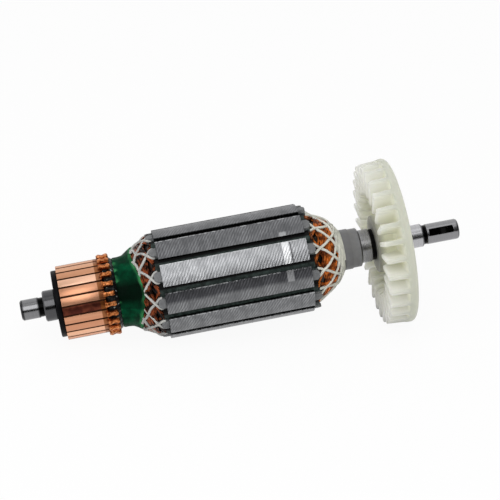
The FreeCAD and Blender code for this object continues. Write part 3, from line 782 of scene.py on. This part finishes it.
# %% Tree: a cord along edges
def cord_tree():
    tree, given = new_tree("cord along edges", Thickness="Float", Sides="Int", Step="Float")
    line = add(tree, "GeometryNodeMeshToCurve", given["Geometry"]).outputs[0]
    line = add(tree, "GeometryNodeCurveSplineType", Curve=line, spline_type="CATMULL_ROM").outputs[0]
    line = add(tree, "GeometryNodeResampleCurve", Curve=line, Length=given["Step"], mode="LENGTH").outputs[0]
    half = add(tree, "ShaderNodeMath", given["Thickness"], 0.5, operation="MULTIPLY").outputs[0]
    section = add(tree, "GeometryNodeCurvePrimitiveCircle", Resolution=given["Sides"],
                  Radius=half).outputs[0]
    cord = add(tree, "GeometryNodeCurveToMesh", Curve=line, Profile_Curve=section, Fill_Caps=True).outputs[0]
    close_tree(tree, cord, given["Material"])
    return tree


CORD = cord_tree()


def cords(name, lines, thickness, sides, step, material):
    """Round cords along lines of points."""
    points, edges = [], []
    for line in lines:
        edges += [(len(points) + k, len(points) + k + 1) for k in range(len(line) - 1)]
        points += line
    print(name, "lines", len(lines))
    return grown(mesh_of(name, points, edges, []), CORD, Thickness=thickness, Sides=sides, Step=step,
                 Material=material)


# %% [markdown]
# A bar and a tang are both blocks with rounded upper corners. A cube with a bevel would do for the bar,
# but not for the tang, whose width changes along it. A skin over rings of points makes either: eight
# points a ring, with the first and last rings drawn in, so that the ends are rounded as well.

# %% Rounded blocks
END_ROUNDING = ((1.0, 0.0), (0.3, 0.3), (0.0, 1.0))  # how far a ring is drawn in and along, in corners


def skin(name, rings):
    """A closed skin over rings of points, capped at both ends."""
    size = len(rings[0])
    faces = []
    for row in range(len(rings) - 1):
        for k in range(size):
            here, beside = row * size + k, row * size + (k + 1) % size
            faces.append((here, beside, beside + size, here + size))
    last = (len(rings) - 1) * size
    faces += [tuple(range(size)), tuple(range(last, last + size))]
    return outward(mesh_of(name, [point for ring in rings for point in ring], [], faces))


def block_ring(x, half, top, bottom, corner):
    """Eight points round a block that narrows towards the shaft, with two points for each upper corner."""
    side = [(bottom, half * bottom / top), (top - corner, half), (top - 0.3 * corner, half - 0.3 * corner),
            (top, half - corner)]
    return [(x, r, s) for r, s in side] + [(x, r, -s) for r, s in reversed(side)]


def rounded_block(name, stations, bottom, corner):
    """A block along the shaft from (x, half width, top) stations, with rounded upper corners and ends."""
    rings = []
    for drawn_in, along in END_ROUNDING:
        x, half, top = stations[0]
        rings.append((x + corner * along, half - corner * drawn_in, top - corner * drawn_in))
    rings += stations[1:-1]
    for drawn_in, along in reversed(END_ROUNDING):
        x, half, top = stations[-1]
        rings.append((x - corner * along, half - corner * drawn_in, top - corner * drawn_in))
    return skin(name, [block_ring(*ring, bottom, corner) for ring in rings])


# %% [markdown]
# The commutator is 24 copper bars with a dark gap between each pair. Behind the brush track, each bar
# rises into a tang with a narrow middle and two wider ends, the shape of a bone, perhaps from the tool
# that pressed it on its wires. The bars are alike, so one bar and one tang are made and the ring tree
# copies them. It is one piece that stands for all 24 solids.

# %% Commutator bars
BAR_TOP, BAR_FOOT, BAR_HALF, BAR_CORNER = 12.62, 11.0, 1.42, 0.14
TANG_STATIONS = ((28.1, 0.74, 13.75), (28.9, 0.84, 13.95), (29.5, 0.76, 13.8), (30.2, 0.66, 13.6),
                 (30.9, 0.76, 13.8), (31.5, 0.84, 13.95), (32.2, 0.74, 13.8))
TANG_CORNER = 0.34


def joined(name, *meshes):
    """One mesh from several."""
    work = bmesh.new()
    for mesh in meshes:
        work.from_mesh(mesh)
    whole = bpy.data.meshes.new(name)
    work.to_mesh(whole)
    work.free()
    return whole


def make_bars():
    track = ((BARS_START, BAR_HALF, BAR_TOP), (TANG_START + 0.6, BAR_HALF, BAR_TOP))
    bar = rounded_block("bar", track, BAR_FOOT, BAR_CORNER)
    tang = rounded_block("tang", TANG_STATIONS, BAR_FOOT, TANG_CORNER)
    first = math.radians(BAR_GAP_ANGLE + 180 / BAR_COUNT)
    ring = grown(joined("bar and tang", bar, tang), RING, Count=BAR_COUNT, First=first, Material=COPPER)
    bars = [name for name in frame["nodes"] if name.startswith("commutator_bar_")]
    hand_over("commutator_bars", ring, COPPER, "copper", *bars)


make_bars()

# %% [markdown]
# Rings that aren't quite round, such as the resin, are a profile carried round the shaft that may change
# on the way. A spin of one profile can't do that, so a function gives the closed profile at any angle.
# Noise taken on a circle round the shaft makes the changes, because it closes on itself without a seam.

# %% Turned rings
UNEVEN_STEPS = 240  # round the shaft, for the rings that aren't round
ALONG_STRETCH, SEED_STRIDE = 6.0, 7.3  # the ripple's length along the shaft, and the gap between two seeds


def carried_round(name, profile_at, steps):
    """A ring whose closed profile of (x, radius) points is given for each angle in degrees."""
    size = len(profile_at(0.0))
    points, faces = [], []
    for step in range(steps):
        angle = 360 * step / steps
        points += [at(x, radius, angle) for x, radius in profile_at(angle)]
        for k in range(size):
            here, beside = step * size + k, step * size + (k + 1) % size
            corners = (here, beside, beside + size, here + size)
            faces.append(tuple(number % (steps * size) for number in corners))
    return outward(mesh_of(name, points, [], faces))


def ripple(angle, x, seed, scale=2.0):
    """Smooth noise from -1 to 1 that closes on itself round the shaft."""
    return noise.noise(at(x / ALONG_STRETCH, scale, angle) + Vector((seed * SEED_STRIDE, 0, 0)))


# %% [markdown]
# Varnish fills the space between the tangs and hides the ends of the wires. Its surface is black and
# uneven. A smooth ring would show as one, so its height wanders with the ripple, and behind the tangs it
# falls away towards the resin.

# %% Varnish behind the tangs
VARNISH_START, VARNISH_END, VARNISH_RADIUS, VARNISH_FLOOR = 29.4, 34.0, 12.45, 10.9
VARNISH_FALL, VARNISH_WAVES, SEED_VARNISH = 0.75, 0.35, 3


def varnish_profile(angle):
    """The varnish between and behind the tangs."""
    stations = [VARNISH_START + (VARNISH_END - VARNISH_START) * k / 12 for k in range(13)]
    top = []
    for x in stations:
        fall = max(0.0, x - TANG_END) * VARNISH_FALL
        top.append((x, VARNISH_RADIUS - fall + VARNISH_WAVES * ripple(angle, x * 4, SEED_VARNISH, 9.0)))
    return [(VARNISH_START, VARNISH_FLOOR)] + top + [(VARNISH_END, VARNISH_FLOOR)]


varnish = carried_round("lead varnish", varnish_profile, UNEVEN_STEPS)
hand_over("lead_varnish", varnish, VARNISH, "black_moulding")

# %% [markdown]
# The resin ring has a waist by the tangs and then climbs over the winding, where it ends in a wavy line
# among the twine, as if brushed on in a few strokes. Sculpting could give that edge. Here the profile
# follows the heap beneath, and only its end moves with the angle: three long waves and small irregular
# teeth.

# %% Resin ring
RESIN_START, RESIN_EDGE = 33.2, 40.8
RESIN_CLIMB = ((33.2, 11.7), (33.6, 11.95), (35.0, 12.0), (36.8, 12.25), (38.2, 13.1), (39.5, 14.0),
               (40.9, 14.85), (43.5, 15.9))
HEAP_START, HEAP_END = (38.0, 12.2), (46.1, 16.6)
BULGE_ANGLE, BULGE_COUNT, BULGE, TEETH = 153.0, 3, 1.2, 0.5
EDGE_SHARE, EDGE_THIN, RESIN_WAVES = 0.1, 0.75, 0.16
SUNK_EDGE, SUNK_FOOT = 0.3, 0.9  # how far the inner side lies below the heap, at the edge and at its start
SEED_RESIN, SEED_EDGE = 11, 5


def between(points, x):
    """The height of a chain of (x, height) points at x."""
    for (start, low), (end, high) in zip(points, points[1:]):
        if x <= end:
            break
    return low + (high - low) * (x - start) / (end - start)


def resin_end(angle):
    """Where the resin ends: a slow wave from the strokes of the brush, and small teeth."""
    wave = math.cos(math.radians(BULGE_COUNT * (angle - BULGE_ANGLE)))
    return RESIN_EDGE + BULGE * wave + TEETH * ripple(angle, 0, SEED_EDGE, 6.0)


def resin_profile(angle):
    """The outer skin from the waist to the edge, and back along the heap."""
    end = resin_end(angle)
    outer = []
    for k in range(21):
        share = k / 20
        x = RESIN_START + (end - RESIN_START) * share
        thin = EDGE_THIN * max(0.0, share - 1 + EDGE_SHARE) / EDGE_SHARE
        wave = RESIN_WAVES * ripple(angle, x * 3, SEED_RESIN, 4.0)
        outer.append((x, between(RESIN_CLIMB, x) - thin + wave))
    under = between((HEAP_START, HEAP_END), end) - SUNK_EDGE
    return outer + [(end, under), (HEAP_START[0], HEAP_START[1] - SUNK_FOOT), (RESIN_START, VARNISH_FLOOR)]


# %% [markdown]
# The finish needs to know where the resin is thin. A painted mask would need a map, so the mesh carries
# the answer itself: an attribute called rim that is 1 at both edges and 0 between them, uneven round the
# shaft.

# %% The resin's mesh and its rims
RIM_WIDTH = 1.3


def rim_strength(x, angle):
    """How much of the light rim shows at a point, from 0 to 1. By the tangs it comes and goes."""
    start = (x - RESIN_START) + 4.0 * max(0.0, 0.3 - ripple(angle, 9, SEED_RESIN, 6.0))
    near = 1 - min(1.0, max(0.0, min(resin_end(angle) - x, start) / RIM_WIDTH))
    patchy = min(1.0, max(0.15, 0.6 + 1.8 * ripple(angle, 3, SEED_RESIN, 3.0)))
    return min(1.0, 1.6 * near) * patchy


def make_resin():
    mesh = carried_round("resin", resin_profile, UNEVEN_STEPS)
    rim = mesh.attributes.new("rim", "FLOAT", "POINT")
    for vertex, value in zip(mesh.vertices, rim.data):
        x, y, z = vertex.co
        value.value = rim_strength(x, math.degrees(math.atan2(z, y)))
    hand_over("brushed_resin", mesh, RESIN, "green_resin", "resin_band")


make_resin()

# %% [markdown]
# Each coil leaves one slot, sweeps round the shaft and dives into another five slots further on. It
# starts on top of its neighbours and ends beneath them, which is why the heap looks woven. A texture of
# wires would look flat at the edge of the heap, so six real wires a coil are laid over the packed
# winding, which stays beneath them as the mass of the heap. Chance moves each wire a little, since wound
# wires are never even.

# %% Winding wires
FAN_HEAP = ((99.0, 16.2), (100.2, 16.2), (101.4, 14.0), (104.4, 12.9), (107.4, 10.85), (110.4, 7.3))
FRONT_HEAP = (HEAP_START, HEAP_END)
COIL_SPAN, WIRES_PER_COIL, WIRE_THICKNESS, WIRE_SIDES, WIRE_STEP = 150.0, 6, 0.52, 6, 0.9
FRONT_MOUTH, FAN_MOUTH = 46.7, 99.8
NEAREST, ROUNDNESS, STACKING = 0.45, 0.75, 0.5  # shares of the reach, the loop's power, mm over and under
WIRE_SPREAD, LOOSE_DEPTH, LOOSE_TURN, LOOSE_HEIGHT, SEED_WIRES = 7.0, 0.45, 2.2, 0.22, 8
SOFT_CORNER = 80  # degrees: a cord is smooth all round, and sharp only at its ends


def wire_line(wire, start, heap, mouth, outwards, reach, chance):
    """One wire of a coil that leaves its slot at the angle start. Outwards is away from the core."""
    share = (wire + 0.5) / WIRES_PER_COIL
    deep = reach * (NEAREST + (1 - NEAREST) * share) + chance.uniform(-LOOSE_DEPTH, LOOSE_DEPTH)
    spread = WIRE_SPREAD * (share - 0.5) + chance.uniform(-LOOSE_TURN, LOOSE_TURN)
    lift = chance.uniform(-LOOSE_HEIGHT, LOOSE_HEIGHT)
    line = []
    for k in range(17):
        way = k / 16
        x = mouth + outwards * deep * math.sin(math.pi * way) ** ROUNDNESS
        over = STACKING * (1 - 2 * way) * (1 if wire % 2 else 0.6)
        radius = between(heap, x) + 0.05 + over + lift
        line.append(at(x, radius, start - (COIL_SPAN * way + spread * (1 - 2 * way))))
    return line


def coil_lines(heap, mouth, outwards, reach):
    """The wires of all coils at one end."""
    chance = random.Random(SEED_WIRES)
    lines = []
    for coil in range(SLOT_COUNT):
        start = SLOT_ANGLE + SLOT_PITCH * coil
        for wire in range(WIRES_PER_COIL):
            lines.append(wire_line(wire, start, heap, mouth, outwards, reach, chance))
    return lines


def make_wires(name, heap, mouth, outwards, reach, finish):
    lines = coil_lines(heap, mouth, outwards, reach)
    mesh = cords(name, lines, WIRE_THICKNESS, WIRE_SIDES, WIRE_STEP, finish)
    hand_over(name, mesh, finish, "enamelled_wire", corner=SOFT_CORNER)


make_wires("coil_wires_commutator_side", FRONT_HEAP, FRONT_MOUTH, -1, 7.5, WIRE)
make_wires("coil_wires_fan_side", FAN_HEAP, FAN_MOUTH, 1, 9.2, FAN_WIRE)

# %% [markdown]
# The twine is looped round each ear. Its two legs cross in front of the ear and again with the
# neighbours' legs, which makes the net. Curves drawn by hand would give each crossing its own look, but
# there are 24 legs at each end. So one leg is a chain of stations, angles and heights, mirrored for the
# other leg and repeated for every ear. One leg goes over where the other goes under, and chance moves
# every crossing a little.

# %% Twine
TWINE_THICKNESS, TWINE_SIDES, TWINE_STEP = 0.92, 10, 0.5
FRONT_LEG = ((47.2, 6.4, -0.35), (46.2, 5.6, 0.35), (44.75, 0.0, 0.75), (43.2, -7.5, 0.45),
             (41.7, -15.0, 0.35), (41.0, -22.5, 0.45), (40.3, -30.0, 0.45), (39.6, -36.0, -0.5))
FAN_LEG = ((99.4, 6.4, -0.6), (100.5, 5.4, 0.1), (102.6, 0.0, 0.75), (104.6, -4.8, 0.5),
           (107.0, -15.0, 0.45), (108.2, -26.0, 0.7), (109.4, -48.0, 0.6), (110.1, -75.0, 0.5),
           (110.5, -100.0, 0.3))
WEAVE, TWINE_WOBBLE, STATION_WOBBLE, SEED_TWINE = 0.22, 1.0, 0.25, 21
HIDING, RIDING = 0.35, -0.1


def net_lines(leg, heap, cover=lambda x, angle: (0.0, 0.0)):
    """Both legs of every ear, from (station, angle from the ear, height) points.

    Cover gives what lies over the heap at a point: its depth along the shaft there, and its radius.
    """
    chance = random.Random(SEED_TWINE)
    lines = []
    for ear in range(SLOT_COUNT):
        middle = SLOT_ANGLE + SLOT_PITCH * (ear + 0.5)
        for hand in (1, -1):
            line = []
            for k, (x, turn, height) in enumerate(leg):
                loose = TWINE_WOBBLE if k > 2 else 0.0
                over = WEAVE * hand * (1 if k % 4 == 2 else -1 if k % 4 == 0 else 0)
                angle = middle + hand * turn + chance.uniform(-loose, loose)
                x += STATION_WOBBLE * chance.uniform(-loose, loose)
                depth, top = cover(x, angle)
                line.append(at(x, max(between(heap, x) + height + over, top + RIDING), angle))
                if depth > HIDING:
                    line[-1] = at(x, top - TWINE_THICKNESS, angle)
                    break
            lines.append(line)
    return lines


def resin_cover(x, angle):
    """How deep a point lies behind the resin's edge, and the resin's radius there."""
    depth = resin_end(angle) - x
    return depth, between(RESIN_CLIMB, x) if depth > 0 else 0.0


# %% [markdown]
# By the fan the same twine is wound round the end of the winding, which ties the net down. It is a spiral
# of its own that narrows towards the sleeve, with a little ripple so that its turns don't lie perfectly
# flat.

# %% The band, and both nets
BAND_TURNS, BAND_START, BAND_FINISH, TURN_POINTS = 4.5, (109.1, 9.2), (111.15, 6.75), 24


def band_line():
    """The turns that tie the net down round the end of the winding."""
    count = int(BAND_TURNS * TURN_POINTS)
    line = []
    for k in range(count + 1):
        x, radius = (start + (end - start) * k / count for start, end in zip(BAND_START, BAND_FINISH))
        angle = 360 * k / TURN_POINTS
        line.append(at(x, radius + 0.1 * ripple(angle, x, SEED_TWINE), angle))
    return line


def make_net(name, node, lines):
    mesh = cords(name, lines, TWINE_THICKNESS, TWINE_SIDES, TWINE_STEP, TWINE)
    hand_over(name, mesh, TWINE, "waxed_twine", node, corner=SOFT_CORNER)


make_net("twine_net_commutator_side", "lacing_commutator_end", net_lines(FRONT_LEG, FRONT_HEAP, resin_cover))
make_net("twine_net_fan_side", "lacing_fan_end", net_lines(FAN_LEG, FAN_HEAP) + [band_line()])

# %% [markdown]
# The sleeve by the fan steps down near its middle. Two cylinders would leave the step sharp, so one
# profile with a short slope at the step is carried round the shaft.

# %% Stepped sleeve
SLEEVE_WIDE, SLEEVE_NARROW, SLEEVE_FACETS = 6.98, 6.72, 96
SLEEVE_PROFILE = (
    (SLEEVE_START, SHAFT_RADIUS), (SLEEVE_START, 6.75), (SLEEVE_START + 0.2, SLEEVE_WIDE),
    (SLEEVE_STEP - 0.2, SLEEVE_WIDE), (SLEEVE_STEP + 0.2, SLEEVE_NARROW), (SLEEVE_END - 0.2, 6.7),
    (SLEEVE_END, 6.5), (SLEEVE_END, SHAFT_RADIUS))
sleeve = carried_round("sleeve", lambda angle: SLEEVE_PROFILE, SLEEVE_FACETS)
hand_over("stepped_sleeve", sleeve, SLEEVE, "grey_sleeve", "insulating_sleeve")

# %% [markdown]
# The fan is one moulding, so its edges are soft and its vanes run into the disc with small fillets.
# Bevels on a union of 30 parts often fail where the edges meet. So its body and vanes are put together
# with sharp corners, a voxel remesh fuses them into one skin, and a few rounds of smoothing melt every
# edge and corner by about the same amount.

# %% Fan
FAN_DISC = FAN_BACK - 3.0
FAN_BODY = (
    (FAN_START, SHAFT_RADIUS), (FAN_START, 9.8), (FAN_DISC, 11.0), (FAN_DISC, 28.44), (FAN_BACK - 1.4, 28.6),
    (FAN_BACK - 0.5, 28.2), (FAN_BACK, 27.2), (FAN_BACK, SHAFT_RADIUS))
VANE_OUTLINE = ((VANE_TIPS, 18.0), (VANE_TIPS, 27.8), (FAN_DISC + 0.4, 28.35), (FAN_DISC + 0.4, 16.0))
VANE_COUNT, VANE_THICKNESS, DISC_FACETS, VOXEL, SMOOTHING = 29, 1.7, 180, 0.38, 8


def make_fan():
    half = VANE_THICKNESS / 2
    vane = skin("vane", [[(x, r, side) for x, r in VANE_OUTLINE] for side in (-half, half)])
    first = math.radians(-90 + 180 / VANE_COUNT)
    vanes = grown(vane, RING, Count=VANE_COUNT, First=first, Material=NYLON)
    body = carried_round("fan body", lambda angle: FAN_BODY, DISC_FACETS)
    carrier = carrier_of(joined("fan", body, vanes))
    remesh = carrier.modifiers.new("fuse", "REMESH")
    remesh.mode, remesh.voxel_size = "VOXEL", VOXEL
    smooth = carrier.modifiers.new("melt", "SMOOTH")
    smooth.factor, smooth.iterations = 0.5, SMOOTHING
    hand_over("moulded_fan", evaluated(carrier), NYLON, "ivory_nylon", "fan", corner=180)


make_fan()

# %% [markdown]
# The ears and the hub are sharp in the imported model, while real board and mouldings have soft edges that
# catch the light. They could be modelled again. A copy of each solid with a small bevel is simpler and
# keeps its place. Its doubled points are merged and its flat parts dissolved first, so that the bevel
# finds clean edges.

# %% Softened copies
BEVEL_WIDTH = 0.3


def softened(name, node, material, slot):
    """A copy of a solid with bevelled edges."""
    mesh = frame["nodes"][node].data.copy()
    work = bmesh.new()
    work.from_mesh(mesh)
    bmesh.ops.remove_doubles(work, verts=work.verts, dist=0.00001)
    bmesh.ops.dissolve_limit(work, angle_limit=math.radians(2), verts=work.verts, edges=work.edges)
    work.to_mesh(mesh)
    work.free()
    mesh.transform(PLACE.inverted())
    carrier = carrier_of(mesh)
    bevel = carrier.modifiers.new("bevel", "BEVEL")
    bevel.width, bevel.segments = BEVEL_WIDTH, 2
    bevel.limit_method, bevel.angle_limit = "ANGLE", math.radians(40)
    hand_over(name, evaluated(carrier), material, slot, node)


softened("ear_board_commutator_side", "end_insulator_commutator_side", BOARD, "grey_board")
softened("ear_board_fan_side", "end_insulator_fan_side", BOARD, "grey_board")
softened("hub_moulding", "commutator_hub", BLACK_MOULDING, "black_moulding")

# %% [markdown]
# The photograph's background is the white of the page. More lamps could bleach the floor, but they would
# bleach the rotor too. Instead the floor has a plain white finish for light, so it keeps the rotor's
# shadow, and an emission for the rays that show it: those of the camera, of mirrors and of glass. It is
# mixed in by a little less than the whole, so that some of the shadow stays.

# %% Floor
FLOOR_HALF, FLOOR_TONE, PAGE_SHARE = 3.0, (0.8, 0.8, 0.8, 1), 0.93


def shown_rays(tree):
    """1 for the rays that show the page: those of the camera, of mirrors and of glass."""
    rays = add(tree, "ShaderNodeLightPath").outputs
    seen, mirrored, through = (rays[f"Is {kind} Ray"] for kind in ("Camera", "Glossy", "Transmission"))
    either = add(tree, "ShaderNodeMath", seen, mirrored, operation="MAXIMUM").outputs[0]
    return add(tree, "ShaderNodeMath", either, through, operation="MAXIMUM").outputs[0]


def make_floor():
    corners = [(x * FLOOR_HALF, y * FLOOR_HALF, 0) for x, y in ((-1, -1), (1, -1), (1, 1), (-1, 1))]
    floor = carrier_of(mesh_of("floor", corners, [], [(0, 1, 2, 3)]))
    material = bpy.data.materials.new("white floor")
    material.use_nodes = True
    tree = material.node_tree
    plain = tree.nodes["Principled BSDF"]
    plain.inputs["Base Color"].default_value = FLOOR_TONE
    plain.inputs["Roughness"].default_value = 0.9
    page = add(tree, "ShaderNodeEmission", (1, 1, 1, 1), 1.0).outputs[0]
    share = add(tree, "ShaderNodeMath", shown_rays(tree), PAGE_SHARE, operation="MULTIPLY").outputs[0]
    mixed = add(tree, "ShaderNodeMixShader", share, plain.outputs[0], page).outputs[0]
    tree.links.new(mixed, tree.nodes["Material Output"].inputs["Surface"])
    floor.data.materials.append(material)
    print("floor", 2 * FLOOR_HALF, "m wide")
    return floor


make_floor()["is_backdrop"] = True

# %% [markdown]
# The room is white for the camera. In mirrors it is white behind the rotor and dark in front, where the
# camera stands, which draws the dark lines on round steel. For everything else it is a weak even light. A
# picture of a real studio could light the rotor too, but three plain levels are easier to set and need no
# file.

# %% Room
ROOM_LIGHT, ROOM_FRONT = 0.70, 0.04
FRONT_TO_BACK = (-0.35, 0.45)  # where the dark front turns to white, by the direction along Y


def make_room():
    world = bpy.data.worlds.new("white room")
    world.use_nodes = True
    tree = world.node_tree
    rays = add(tree, "ShaderNodeLightPath").outputs
    way = add(tree, "ShaderNodeSeparateXYZ", add(tree, "ShaderNodeTexCoord").outputs["Generated"]).outputs
    behind = add(tree, "ShaderNodeMapRange", way[1], *FRONT_TO_BACK, ROOM_FRONT, 1.0).outputs[0]
    plain = add(tree, "ShaderNodeMix", rays["Is Diffuse Ray"], None, behind, ROOM_LIGHT).outputs[0]
    level = add(tree, "ShaderNodeMix", rays["Is Camera Ray"], None, plain, 1.0).outputs[0]
    tree.links.new(level, tree.nodes["Background"].inputs["Strength"])
    tree.nodes["Background"].inputs["Color"].default_value = (1, 1, 1, 1)
    bpy.context.scene.world = world
    print("room light", ROOM_LIGHT)


make_room()

# %% [markdown]
# Product lighting is a few large soft boxes. Small lamps or a sun would draw hard shadows that the
# photograph doesn't have. The main box stands above and in front, so that the tooth of the core that
# faces the camera catches it. A second one fills from the left, and a third one gives the steel its
# bright upper edge. Their power was set so that a colour renders about as it is written.

# %% Lamps
ROTOR_MIDDLE = PLACE @ Vector((80.4, 0, 0))
LAMP_DISTANCE = 0.7
LAMPS = (("main box", -20, 45, 0.5, 1.9), ("left box", -75, 20, 0.4, 0.6), ("top box", 20, 80, 0.5, 0.6))


def direction(azimuth, elevation):
    """From the rotor outwards. Azimuth 0 is in front and grows to the right, both in degrees."""
    turn, rise = math.radians(azimuth), math.radians(elevation)
    return Vector((math.sin(turn) * math.cos(rise), -math.cos(turn) * math.cos(rise), math.sin(rise)))


def soft_box(name, azimuth, elevation, size, watts):
    """A square area lamp that looks at the rotor's middle."""
    away = direction(azimuth, elevation)
    lamp = bpy.data.lights.new(name, "AREA")
    lamp.energy, lamp.size = watts, size
    holder = bpy.data.objects.new(name, lamp)
    holder.location = ROTOR_MIDDLE + away * LAMP_DISTANCE
    holder.rotation_mode = "QUATERNION"
    holder.rotation_quaternion = (-away).to_track_quat("-Z", "Y")
    bpy.context.scene.collection.objects.link(holder)
    print(name, watts, "W")


for lamp_values in LAMPS:
    soft_box(*lamp_values)

# %% [markdown]
# A photograph seldom says where its camera stood. The place could be guessed and turned by hand until the
# picture looks right. It was fitted instead: of the azimuths, heights, distances and lenses, the one with
# which the rotor falls on its own picture in the photograph. The result is a long lens at a little more
# than half a metre, looking down on the rotor and slightly from the commutator's end.

# %% Camera
CAMERA_AZIMUTH, CAMERA_ELEVATION = -9.5, 28.3
CAMERA_DISTANCE, CAMERA_LENS = 0.634, 133.2
AIM_UP, AIM_RIGHT = 0.0058, -0.0011


def make_camera():
    back = direction(CAMERA_AZIMUTH, CAMERA_ELEVATION)
    look = (-back).to_track_quat("-Z", "Y")
    camera = bpy.data.cameras.new("camera")
    camera.lens, camera.sensor_width = CAMERA_LENS, 36.0
    camera.clip_start, camera.clip_end = 0.05, 20.0
    holder = bpy.data.objects.new("camera", camera)
    up, right = look @ Vector((0, 1, 0)), look @ Vector((1, 0, 0))
    holder.location = ROTOR_MIDDLE + up * AIM_UP + right * AIM_RIGHT + back * CAMERA_DISTANCE
    holder.rotation_mode = "QUATERNION"
    holder.rotation_quaternion = look
    bpy.context.scene.collection.objects.link(holder)
    bpy.context.scene.camera = holder
    print("camera at", [round(value, 3) for value in holder.location])


make_camera()
bpy.context.scene.view_settings.view_transform = "Standard"

# %% [markdown]
# The dressed rotor has to be as large as the imported one. The box round each is printed.

# %% Sizes before and after
visual_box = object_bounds()
for name, (low, high) in (("cad", cad_box), ("visual", visual_box)):
    print(name, [round((b - a) / MM, 2) for a, b in zip(low, high)])
